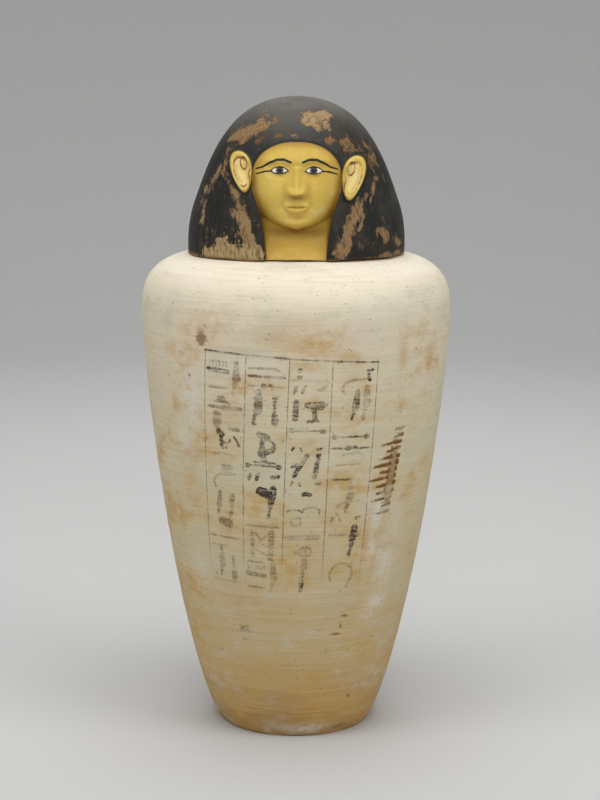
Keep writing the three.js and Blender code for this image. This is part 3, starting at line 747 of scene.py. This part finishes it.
def worn_field(x, h, y, places, facing):
    """How far inside a worn place a point of the wig is, less as it turns away from the side that the
    places are on, with the paleness of the clay there."""
    away = np.clip(facing * y + 22, 0, None) * 0.45
    best = np.full(x.shape, -FAR)
    pale = np.zeros(x.shape)
    for points, radii, tone in places:
        inside = -chain(x, h, points, radii) - away
        nearer = inside > best
        best = np.where(nearer, inside, best)
        pale = np.where(nearer, tone, pale)
    return best, pale


def lid_columns(level):
    """The places of the columns as shares of the lid's half width, for each row's height: the outer
    locks, the ears, the steep edge of the opening and the face, from left to right."""
    side = reach_at(SIDE_PROFILE, share_at(np.minimum(level, TEMPLE)))
    half = np.where(level < TEMPLE, lock_half_width(level), TEMPLE_HALF_WIDTH)
    rim = 0.6
    marks = [FRONT_SHARE * side, 43.5 + 0 * side, half + rim, half - rim]
    counts = [LOCK_COLUMNS, EAR_COLUMNS, RIM_COLUMNS]
    left = [mix(-a[:, None], -b[:, None], np.linspace(0, 1, n, endpoint=False))
            for a, b, n in zip(marks, marks[1:], counts)]
    inner = marks[3][:, None]
    face = mix(-inner, inner, np.linspace(0, 1, FACE_COLUMNS))
    right = [-part[:, ::-1] for part in left[::-1]]
    return np.concatenate(left + [face] + right, axis=1) / side[:, None]


def section(angle, side, front, back, power):
    """A superelliptic section: across and depth go with the sine and cosine to the power 2/power, with
    one depth in front of the axis and another behind it."""
    across, ahead = np.sin(angle), np.cos(angle)
    depth = np.where(ahead > 0, front, back)
    x = side * np.sign(across) * np.abs(across) ** (2 / power)
    return x, -depth * np.sign(ahead) * np.abs(ahead) ** (2 / power)


def edge_lift(angle):
    """How far the lower edge lifts from the jar, more to the right, in shallow waves."""
    sway = 1.4 + 0.3 * np.cos(angle) + 0.7 * np.sin(angle) - 0.6 * np.sin(angle) ** 2
    return sway + 0.28 * np.sin(angle * 9 + 2.2) + 0.16 * np.sin(angle * 17)


def lid():
    """The lid as one closed skin: the wig's profiles and sections, with the face, neck and ears set into
    its front, then the underside with its ring, and the hollow."""
    crown = share_at(FACE_TOP) * np.linspace(1, CROWN_ROWS, CROWN_ROWS) / (CROWN_ROWS + 1)
    face_heights = np.linspace(FACE_TOP, SKIRT_TOP, FACE_ROWS)
    front_rows = share_at(np.concatenate([face_heights, np.linspace(SKIRT_TOP, 0, SKIRT_ROWS)[1:]]))
    share = np.concatenate([crown, front_rows])
    level = bezier(PROFILE_HEIGHTS, share)
    side, front, back = (reach_at(p, share)[:, None] for p in (SIDE_PROFILE, FRONT_PROFILE, BACK_PROFILE))
    shares = lid_columns(level)
    angles = np.sign(shares) * np.arcsin(np.abs(shares) ** (SECTION_POWER / 2))
    end = np.arcsin(FRONT_SHARE ** (SECTION_POWER / 2))
    behind = np.linspace(end, 2 * math.pi - end, LID_BACK_COLUMNS)[1:-1] + 0 * level[:, None]
    angle = np.concatenate([angles, behind], axis=1)
    x, y = section(angle, side, front, back, SECTION_POWER)
    level = level[:, None]
    h = level + edge_lift(angle) * (1 - smoothstep(level, 0, LIFT_FADES))
    wig = -y
    points = np.stack([x, y, h], axis=-1)
    opening = np.where(wig > 0, outside_opening(x, h), 60)
    places = [ear_place(ear, x, h) for ear in EARS]
    ear_reach = np.min([p[2] for p in places], axis=0) + 9 * (wig < 0)
    ear_edge = (ear_reach - 1) * 7.5
    worn_front, pale_front = worn_field(x, h, y, WORN, 1)
    worn_back, pale_back = worn_field(x, h, y, WORN_BEHIND, -1)
    worn = np.maximum(worn_front, worn_back)
    pale = np.where(worn_front > worn_back, pale_front, pale_back)
    ragged = points / [1, 1, 1.7]
    worn = worn + 2.0 * fractal(ragged, 6, 2, 31) + 1.0 * value_noise(ragged, 2.2, 37)
    worn = np.minimum(worn, np.minimum(ear_edge - 1.6, opening - 1.7 - value_noise(points, 7, 5)))
    flecks = 1.6 * fractal(ragged, 5, 2, 51) - 1.75
    worn = np.maximum(worn, np.minimum(flecks, np.minimum(ear_edge - 2.5, opening - 2.5)))
    recess = PAINT_THICKNESS * smoothstep(worn, -0.3, 0.5)
    wander = HAIR_UNEVENNESS * fractal(points, 34, 2, 61) / 1.5 + 0.1 * value_noise(points, 7, 67)
    hair = wig + wander - HAIR_INSET - recess
    for ear, (out, up, reach) in zip(EARS, places):
        flap = wig + ear_relief(out, up, reach) * (1 - smoothstep(reach, 0.9, 1.1))
        hair = np.maximum(hair, flap + 0.25 * (1 - smoothstep(reach, 1, 1.3)) - 0.25)
    flesh = face_depth(x, h) + 0.12 * fractal(points, 16, 2, 71)
    step = smoothstep(opening, -0.55, 0.55)
    rolled = 0.5 * bell(opening - 0.3, 0.7)
    ahead = (wig > 0) & (np.abs(x) < FRONT_SHARE * side * 0.999)
    y = np.where(ahead, -mix(flesh, hair - rolled, step), y)
    shrink = np.where(ahead, 1, 1 - (0.45 - wander + recess) / MEAN_REACH)
    points = np.stack([x * shrink, y * shrink, SEAT + h], axis=-1)

    edge = points[-1:]
    under_edge = edge * [0.985, 0.985, 1] - [0, 0, 0.25]
    seat = np.concatenate([edge[..., :2] * 0.9, 0 * edge[..., 2:] + SEAT_HEIGHT], axis=-1)
    turn = angle[-1]
    rings = [points, under_edge, seat]
    for radius, z in [(RING_OUTER, SEAT_HEIGHT), (RING_OUTER, SEAT - RING_DEPTH + 1.2),
                      (RING_OUTER - 1.2, SEAT - RING_DEPTH)]:
        rings.append(np.stack([radius * np.sin(turn), -radius * np.cos(turn), z + 0 * turn], axis=-1)[None])
    t = np.linspace(1, 0.06, HOLLOW_ROWS)[:, None]
    hollow = section(turn + 0 * t, *(bezier(c, t) for c in (HOLLOW_SIDE, HOLLOW_FRONT, HOLLOW_BACK)), 2)
    rings.append(np.stack([*hollow, SEAT + bezier(HOLLOW_HEIGHTS, t) + 0 * turn], axis=-1))
    rings = np.concatenate(rings)

    def extended(grid, value):
        """A value over the outside, with one value for the underside and the hollow."""
        return np.concatenate([grid, np.full((len(rings) - len(grid), grid.shape[1]), float(value))])

    side_eye, up_eye = eye_place(x, h)
    brow = chain(np.abs(x), h, *BROW_STROKE)
    tail = chain(np.abs(x), h, *EYE_TAIL)
    almond = eye_edge(x, h)
    lid_line = np.maximum(np.abs(almond) - 0.42, -0.2 - up_eye - 3 * (side_eye > -9))
    near = OFF * (wig < 0) + OFF * (opening > 0)
    ear_lines = [ear_line(*p) * 7 - 0.4 for p in places]
    red = np.min(ear_lines, axis=0) + 20 * (ear_reach > 0.97)
    off_neck_line = smoothstep(-x, 22, 8) + smoothstep(np.abs(h - 20), 12, 16)
    neck_line = np.abs(opening + 0.5) - 0.35 + FAR * off_neck_line
    # Painted shade on the face: darker under the chin, under the nose and the lower lip, along the wig's
    # edge, down the neck, in the mouth's groove and beside the nose
    recess_shade = np.max([
        bell(h - CHIN + 1.5, 4.2) * bell(x, 19), 0.8 * bell(h - NOSE_BASE + 1.2, 1.5) * bell(x, 5.5),
        0.6 * bell(opening, 3.2), 0.5 * bell(h - MOUTH_LINE + 6.4, 1.6) * bell(x, 5),
        0.45 * (1 - smoothstep(h, 9, 19)), 0.5 * bell(h - MOUTH_LINE, 0.8) * bell(x, 9),
        0.35 * bell(np.abs(x) - 7, 2) * bell(h - NOSE_BASE - 3, 5),
    ], axis=0)
    values = dict(
        opening=extended(opening, 60), ear=extended(ear_reach, 9),
        line=extended(np.min([brow, tail, lid_line], axis=0) + near, OFF),
        red=extended(np.minimum(red, neck_line + OFF * (wig < 0)), OFF),
        white=extended(almond + near, OFF),
        iris=extended(np.hypot(side_eye + 0.2, up_eye - 0.3) + near, OFF),
        # painted shade in the face's recesses
        hollow=extended(recess_shade, 0), worn=extended(worn, 9), pale=extended(pale, 0.2),
        # greyer towards the crown: partly dust, partly painted light falling on the wig's top
        dust_and_top_light=extended(smoothstep(h, 62, 96), 0), height=extended(h, -20),
        clay=extended(0 * h, 1),
    )
    first = [0, 0, SEAT + LID_HEIGHT - 0.45]
    return closed_skin("lid_head", rings, first, [0, 0, SEAT + HOLLOW_HEIGHTS[0]], values)


# ---- Materials ----

def linear(colour):
    """A colour given as sRGB hex, as linear red, green, blue and alpha."""
    shares = [int(colour[i:i + 2], 16) / 255 for i in (0, 2, 4)]
    return [s / 12.92 if s <= 0.04045 else ((s + 0.055) / 1.055) ** 2.4 for s in shares] + [1]


def add(tree, kind, inputs=None, output=None, **settings):
    """Adds a node with its settings, feeds its inputs from sockets or plain values, and gives back the
    output that is named, or else the first that is in use."""
    node = tree.nodes.new("ShaderNode" + kind)
    for name, value in settings.items():
        setattr(node, name, value)
    for key, value in (inputs or {}).items():
        if isinstance(value, bpy.types.NodeSocket):
            tree.links.new(value, node.inputs[key])
        else:
            node.inputs[key].default_value = value
    if output is not None:
        return node.outputs[output]
    return next((socket for socket in node.outputs if socket.enabled), None)


def mask(tree, *factors):
    """Its factors multiplied together. A factor is an output, a number, or a tuple for a smooth step: an
    output, the two values between which it steps and, if they aren't 0 and 1, what it steps from and to."""
    total = None
    for factor in factors:
        if isinstance(factor, tuple):
            value, low, high, bottom, top = factor if len(factor) == 5 else (*factor, 0.0, 1.0)
            limits = {"Value": value, "From Min": low, "From Max": high, "To Min": bottom, "To Max": top}
            factor = add(tree, "MapRange", limits, interpolation_type="SMOOTHSTEP")
        if total is None:
            total = factor
        else:
            total = add(tree, "Math", {0: total, 1: factor}, operation="MULTIPLY")
    return total


def washed(tree, colour, *washes):
    """Lays washes over a colour, one after the other. Each is a colour, then the factors of the mask that
    lets it through."""
    for wash, *factors in washes:
        wash = linear(wash) if isinstance(wash, str) else wash
        colour = add(tree, "Mix", {0: mask(tree, *factors), 6: colour, 7: wash}, data_type="RGBA")
    return colour


def new_material(name, carried, patterns):
    """An empty material, the surface's own place in millimetres, the numbers that the mesh carries for
    it, and its cloudy patterns, each from the millimetres that its blotches measure across and up, and
    how detailed and how rough they are."""
    material = bpy.data.materials.new(name)
    material.use_nodes = True
    tree = material.node_tree
    tree.nodes.clear()
    place = add(tree, "TexCoord", output="Object")
    place = add(tree, "VectorMath", {0: place, "Scale": 1 / MM}, operation="SCALE")
    numbers = [add(tree, "Attribute", output="Fac", attribute_name=key) for key in carried]
    clouds = []
    for across, up, detail, roughness in patterns:
        stretched = add(tree, "Mapping", {"Vector": place, "Scale": (1 / across, 1 / across, 1 / up)})
        cloud = {"Vector": stretched, "Scale": 1.0, "Detail": detail, "Roughness": roughness}
        clouds.append(add(tree, "TexNoise", cloud))
    return material, tree, place, numbers, clouds


def finish_surface(material, tree, colour, roughness, heights, specular):
    """Joins colour, roughness and a relief, summed from heights in millimetres, to the surface shader."""
    height = 0.0
    for value, rise in heights:
        height = add(tree, "Math", {0: value, 1: rise, 2: height}, operation="MULTIPLY_ADD")
    normal = add(tree, "Bump", {"Height": height, "Distance": MM, "Strength": 1.0})
    surface = {
        "Base Color": colour, "Roughness": roughness, "Normal": normal, "Metallic": 0.0, "IOR": 1.5,
        "Specular IOR Level": specular,
    }
    add(tree, "OutputMaterial", {"Surface": add(tree, "BsdfPrincipled", surface)})
    return material


SLIP_NUMBERS = [
    "ink_edge", "ink", "ink_brown", "across", "below", "line_mm", "stain_edge", "stain", "slip", "brown",
    "ochre", "pale", "chip",
]
SLIP_PATTERNS = [  # millimetres across and up, detail, roughness
    (50, 1.4, 3, 0.6),  # the cloth's lines, about 1 mm apart
    (120, 11, 2, 0.5),  # the broader bands of the cloth
    (42, 26, 4, 0.55),  # clouds left by the kiln
    (9, 6, 3, 0.5),  # mottling
    (0.9, 0.9, 2, 0.5),  # sand in the slip, drawn coarse enough to show
    (3.4, 2.0, 3, 0.6),  # flakes
    (1.5, 1.1, 2, 0.6),  # speckles where ink or slip has rubbed off
    (2.1, 2.1, 1, 0.5),  # the few dark grains
]
SLIP_TONES_AND_SHADE = [  # from the foot to the shoulder, darker towards the foot: partly the slip's own ochre tone, partly painted shade as the light falls off towards the base
    (0.0, "AB8549"), (0.1, "BE9E67"), (0.3, "C6B48C"), (0.6, "D0C4A3"), (0.85, "DED2B8"), (1.0, "E8DECA"),
]
SLIP_TONE_AND_SHADE_HEIGHTS = (75.0, 375.0)  # the first and last tone, on the height with cloud and bands added


def slipped_pottery():
    """Low-fired marl clay under a cream slip that was wiped on as the jar turned: matt, banded by the
    cloth, stained ochre and brown in use, with columns of strokes in black and brown ink, mostly worn."""
    material, tree, place, numbers, patterns = new_material(
        "cream_slip_on_marl_clay", SLIP_NUMBERS, SLIP_PATTERNS)
    ink_edge, ink, ink_brown, across, below, line_mm, stain_edge, stain = numbers[:8]
    slip_left, brown, ochre, pale, chip = numbers[8:]
    wipe, bands, cloud, mottle, grain, flake, speckle, dark_grain = patterns
    up = add(tree, "SeparateXYZ", {0: place}, output="Z")

    # The slip's colour rises with height: partly its own tone, partly painted shade that darkens it towards
    # the foot
    height = add(tree, "Math", {0: cloud, 1: 90.0, 2: up}, operation="MULTIPLY_ADD")
    height = add(tree, "Math", {0: bands, 1: 50.0, 2: height}, operation="MULTIPLY_ADD")
    low, high = SLIP_TONE_AND_SHADE_HEIGHTS
    share = add(tree, "MapRange", {"Value": height, "From Min": low, "From Max": high})
    slip = add(tree, "ValToRGB", {0: share})
    stops = slip.node.color_ramp.elements
    for at, _ in SLIP_TONES_AND_SHADE[1:-1]:
        stops.new(at)
    for stop, (_, tone) in zip(stops, SLIP_TONES_AND_SHADE):
        stop.color = linear(tone)

    # The ink: worn at its edges, thinned in patches and between the cloth's lines
    ragged = add(tree, "Math", {0: flake, 1: -1.3, 2: ink_edge}, operation="MULTIPLY_ADD")
    ragged = add(tree, "Math", {0: speckle, 1: -0.7, 2: ragged}, operation="MULTIPLY_ADD")
    warmth = add(tree, "Math", {0: mottle, 1: 0.9, 2: ink_brown}, operation="MULTIPLY_ADD")
    warmth = add(tree, "Math", {0: warmth, 1: 0.45}, operation="SUBTRACT", use_clamp=True)
    ink_colour = add(tree, "Mix", {0: warmth, 6: linear("2B2C2B"), 7: linear("7D5A2A")}, data_type="RGBA")

    # The ruled lines: upright ones at whole numbers of columns, and one along the top
    nearest = add(tree, "Math", {0: across}, operation="ROUND")
    beside = add(tree, "Math", {0: across, 1: nearest}, operation="SUBTRACT")
    beside = mask(tree, add(tree, "Math", {0: beside}, operation="ABSOLUTE"), line_mm)
    upright = mask(tree, (beside, 0.55, 0.1), (below, -0.4, 0.4), (below, 147.0, 110.0), 0.75)
    level = mask(tree, (add(tree, "Math", {0: below}, operation="ABSOLUTE"), 0.95, 0.25))
    ruled = add(tree, "Math", {0: upright, 1: level}, operation="MAXIMUM")

    stain_rag = add(tree, "Math", {0: flake, 1: -2.2, 2: stain_edge}, operation="MULTIPLY_ADD")
    stain_rag = add(tree, "Math", {0: speckle, 1: -1.2, 2: stain_rag}, operation="MULTIPLY_ADD")
    brown_rag = add(tree, "Math", {0: flake, 1: 0.9, 2: brown}, operation="MULTIPLY_ADD")
    specks = mask(tree, (dark_grain, 0.7, 0.76), 0.5)
    bare = add(tree, "Math", {0: 1.0, 1: slip_left}, operation="SUBTRACT")
    clay = add(tree, "Mix", {0: cloud, 6: linear("7E5636"), 7: linear("AD8557")}, data_type="RGBA")
    colour = washed(
        tree, slip,
        ("C4C0AC", (cloud, 0.52, 0.36), (mottle, 0.6, 0.4, 0.3, 1.0), 0.45),  # greyer clouds
        ("BF9A56", (cloud, 0.46, 0.66), (mottle, 0.36, 0.6, 0.3, 1.0), (up, 300.0, 230.0), 0.8),
        ("B98A3C", ochre, (mottle, 0.25, 0.65, 0.35, 1.0), 0.72),
        ("B2925F", (wipe, 0.52, 0.7), 0.17),
        ("EFE4CC", (wipe, 0.48, 0.3), 0.15),
        ("DDDCD6", pale, (flake, 0.36, 0.56, 0.4, 1.0), 0.75),
        ("A48455", (flake, 0.6, 0.72), (cloud, 0.45, 0.65), 0.4),  # dirt in the flakes
        ("8C6A41", specks),
        ("75502F", (brown_rag, 0.72, 1.15), 0.75),
        ("76501D", (stain_rag, -0.9, -1.9), stain, 1.45, (mottle, 0.3, 0.6, 0.35, 1.0)),
        ("544A38", ruled, (across, -0.04, -0.02), (across, 4.04, 4.02), (mottle, 0.3, 0.56, 0.25, 1.0),
         (speckle, 0.36, 0.54, 0.35, 1.0)),
        (ink_colour, (ragged, -0.65, -1.3), (mottle, 0.34, 0.56, 0.5, 1.15),
         (speckle, 0.36, 0.52, 0.45, 1.1), (wipe, 0.36, 0.56, 0.45, 1.0), ink, 1.2),
        ("A9824F", chip, 0.7),
        (clay, bare),
    )
    roughness = mask(tree, (cloud, 0.2, 0.8, 0.88, 0.74))
    heights = [(wipe, 0.1), (bands, 0.3), (grain, 0.12), (flake, 0.16), (specks, -0.3)]
    return finish_surface(material, tree, colour, roughness, heights, 0.35)


# hollow carries the painted shade in the recesses of the face and neck
PAINT_NUMBERS = [
    "opening", "ear", "line", "red", "white", "iris", "hollow", "worn", "pale", "dust_and_top_light", "height", "clay",
]
PAINT_PATTERNS = [  # millimetres across and up, detail, roughness
    (22, 22, 4, 0.5),  # clouds
    (6, 8, 3, 0.6),  # mottling
    (1.3, 1.8, 2, 0.6),  # flecks
    (1.6, 20, 2, 0.5),  # upright strokes of the brush, 1 to 2 mm wide
    (0.7, 0.7, 2, 0.5),  # grain in the clay, drawn coarse enough to show
    (1.3, 6, 3, 0.65),  # scratches along the fall of the hair
]


def painted_pottery():
    """Low-fired clay modelled by hand and painted in glue-bound colours: a blue-black wig, greyed towards
    its crown by dust and by painted top light, and worn through to tan and brown clay, a yellow ochre face,
    and black, white and red-brown details."""
    material, tree, place, numbers, patterns = new_material(
        "glue_paint_on_clay", PAINT_NUMBERS, PAINT_PATTERNS)
    opening, ear_reach, line_edge, red_edge, white_edge, iris = numbers[:6]
    hollow, worn, pale, dust_and_top_light, height, under = numbers[6:]
    cloud, mottle, fleck, brush, grain, scratch = patterns
    flecks = mask(tree, (fleck, 0.7, 0.76), 0.5)

    # The wig, and the clay where its paint is thin or gone
    ragged = add(tree, "Math", {0: fleck, 1: 2.4, 2: worn}, operation="MULTIPLY_ADD")
    ragged = add(tree, "Math", {0: scratch, 1: 7.0, 2: ragged}, operation="MULTIPLY_ADD")
    hair = add(tree, "Mix", {0: mottle, 6: linear("0C0E0D"), 7: linear("21231F")}, data_type="RGBA")
    hair = washed(
        tree, hair,
        # the wig greyed towards its crown: partly dust, partly painted top light
        ("8A857A", dust_and_top_light, (cloud, 0.2, 0.75, 0.35, 1.0), 0.42),
        ("4C463A", (cloud, 0.54, 0.72), 0.3),
        ("54493A", (brush, 0.58, 0.72), 0.3),
        ("8E836C", flecks),
        ("45311F", (ragged, 2.8, 5.2), 0.42),
    )
    left_paint = mask(tree, (mottle, 0.54, 0.62), (worn, 4.5, 0.8))
    gone = add(tree, "Math", {0: 1.0, 1: left_paint}, operation="SUBTRACT")
    bare = mask(tree, (ragged, 4.5, 5.1), gone)
    tone = add(tree, "Math", {0: mottle, 1: 0.7, 2: pale}, operation="MULTIPLY_ADD")
    tone = add(tree, "Math", {0: tone, 1: 0.35}, operation="SUBTRACT", use_clamp=True)
    clay = add(tree, "Mix", {0: tone, 6: linear("6B4226"), 7: linear("AE966B")}, data_type="RGBA")
    clay = washed(tree, clay, ("4A3423", (scratch, 0.5, 0.62), 0.6))

    # The face, neck and ears
    on_ear = mask(tree, (ear_reach, 1.03, 0.97))
    on_face = mask(tree, (opening, 0.15, -0.25))
    on_flesh = add(tree, "Math", {0: on_face, 1: on_ear}, operation="MAXIMUM")
    flesh = add(tree, "Mix", {0: cloud, 6: linear("BD932A"), 7: linear("E3C968")}, data_type="RGBA")
    flesh = washed(
        tree, flesh,
        ("D9C98A", (mottle, 0.54, 0.7), 0.45),
        # painted shade: the flesh darkened in the recesses of the face and neck
        ("95640F", hollow, 0.85),
        ("A88A3C", flecks),
        ("E2CF92", on_ear, (ear_reach, 1.0, 0.5), (mottle, 0.2, 0.6, 0.5, 1.0), 0.6),
    )

    # The lines and the eyes, and the plain clay of the rim and underside
    white = mask(tree, (white_edge, 0.05, -0.3))
    line_rag = add(tree, "Math", {0: fleck, 1: 0.5, 2: line_edge}, operation="MULTIPLY_ADD")
    red_rag = add(tree, "Math", {0: fleck, 1: 0.6, 2: red_edge}, operation="MULTIPLY_ADD")
    plain = add(tree, "Mix", {0: cloud, 6: linear("5E4028"), 7: linear("94703F")}, data_type="RGBA")
    colour = washed(
        tree, hair,
        (clay, bare),
        (flesh, on_flesh),
        # painted shade: the face darkened in a narrow band just inside the wig's edge
        ("6E4A1C", (opening, -1.1, -0.2), on_face, 0.5),
        ("E7E3D8", white),
        ("54453F", white, (iris, 2.5, 2.1)),
        ("151413", white, (iris, 1.25, 0.95)),
        ("74351A", (red_rag, 0.42, 0.02), (mottle, 0.36, 0.56, 0.25, 0.95)),
        ("1C1E1D", (line_rag, 0.45, 0.05)),
        (plain, (height, 3.0, 0.9), (mottle, 0.36, 0.5)),
        (plain, under),
    )
    matt = add(tree, "Math", {0: bare, 1: under}, operation="MAXIMUM")
    roughness = mask(tree, (matt, 0.0, 1.0, 0.56, 0.86))
    heights = [(bare, -0.12), (mottle, 0.25), (fleck, 0.12), (grain, 0.06), (brush, 0.08)]
    return finish_surface(material, tree, colour, roughness, heights, 0.3)


def matt_paper():
    """The floor and backdrop: plain matt paper, pale grey, a little uneven over a metre."""
    material, tree, _, _, (cloud,) = new_material("matt_grey_paper", [], [(900, 900, 1, 0.5)])
    tone = mask(tree, (cloud, 0.0, 1.0, 0.96, 1.0))
    colour = add(tree, "Mix", {0: tone, 6: linear("B9B9B9"), 7: linear("C9C9C8")}, data_type="RGBA")
    return finish_surface(material, tree, colour, 0.9, [], 0.2)


# ---- Stage, lights and camera ----

def backdrop():
    """A round paper bowl: a level floor that turns up into a wall along an elliptic quarter turn."""
    floor, bend, wall = 1500, 1100, 3200
    a = np.linspace(0, math.pi / 2, 18)
    radius = np.concatenate([np.linspace(150, floor, 6)[:-1], floor + bend * np.sin(a), [floor + bend]])
    height = np.concatenate([np.zeros(5), bend * (1 - np.cos(a)), [wall]])
    turn = np.linspace(0, 2 * math.pi, 97)[:-1]
    grid = np.stack([radius[:, None] * np.sin(turn), -radius[:, None] * np.cos(turn),
                     height[:, None] + 0 * turn], axis=-1)
    rows, columns, _ = grid.shape
    index = 1 + np.arange(rows * columns).reshape(rows, columns)
    right = np.roll(index, -1, axis=1)
    quads = np.stack([index[:-1], index[1:], right[1:], right[:-1]], axis=-1).reshape(-1, 4)
    fan = np.stack([np.zeros(columns, int), index[0], right[0]], axis=-1)
    mesh = bpy.data.meshes.new("paper_bowl")
    points = np.concatenate([[[0, 0, 0]], grid.reshape(-1, 3)]) * MM
    mesh.from_pydata(points.tolist(), [], quads.tolist() + fan.tolist())
    mesh.shade_smooth()
    mesh.materials.append(matt_paper())
    paper = bpy.data.objects.new("paper_bowl", mesh)
    bpy.context.scene.collection.objects.link(paper)


def soft_light(name, place, size, power, aim=(0, 0, 0.2)):
    """A square soft light of a size in metres at a place, turned to face a point."""
    light = bpy.data.lights.new(name, "AREA")
    light.size = size
    light.energy = power
    lamp = bpy.data.objects.new(name, light)
    lamp.location = place
    away = [p - a for p, a in zip(place, aim)]
    flat = math.hypot(away[0], away[1])
    lamp.rotation_euler = (math.atan2(flat, away[2]), 0, math.atan2(away[1], away[0]) + math.pi / 2)
    lamp.visible_camera = False
    bpy.context.scene.collection.objects.link(lamp)


def studio():
    """Soft light from above and from both sides, one light for the paper behind, and a faint even light
    all round."""
    soft_light("overhead", (0, -0.35, 1.75), 1.3, 17.5)
    soft_light("left_softbox", (-1.7, -1.0, 1.5), 1.1, 12)
    soft_light("right_softbox", (1.7, -1.0, 1.5), 1.1, 13.5)
    soft_light("front_fill", (0, -2.5, 1.4), 1.2, 14)
    soft_light("paper_light", (0, 0.9, 1.1), 1.0, 4.8, (0, 0.9, 0))
    world = bpy.data.worlds.new("even_light")
    world.use_nodes = True
    world.node_tree.nodes["Background"].inputs["Color"].default_value = linear("C8CACC")
    world.node_tree.nodes["Background"].inputs["Strength"].default_value = 0.2
    bpy.context.scene.world = world
    bpy.context.scene.view_settings.view_transform = "Standard"


EYE_PLACE = (0.0028, -1.2563, 0.4346)
EYE_PITCH = 0.1786  # radians downwards
EYE_ROLL = math.radians(0.35)
LENS = 89.87


def camera():
    """A long lens a little above the jar's shoulder, looking slightly down at the whole object."""
    lens = bpy.data.cameras.new("camera")
    lens.lens = LENS
    eye = bpy.data.objects.new("camera", lens)
    eye.location = EYE_PLACE
    tilt = Euler((math.pi / 2 - EYE_PITCH, 0, 0)).to_matrix() @ Matrix.Rotation(EYE_ROLL, 3, "Z")
    eye.rotation_euler = tilt.to_euler()
    bpy.context.scene.collection.objects.link(eye)
    bpy.context.scene.camera = eye


# ---- Putting it together ----

camera()
studio()
backdrop()
for make, node, slot, finish in [
    (jar, "jar", "slipped_pottery", slipped_pottery),
    (lid, "lid", "painted_pottery", painted_pottery),
]:
    piece = make()
    piece.data.materials.append(finish())
    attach(piece, "root")
    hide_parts(node)
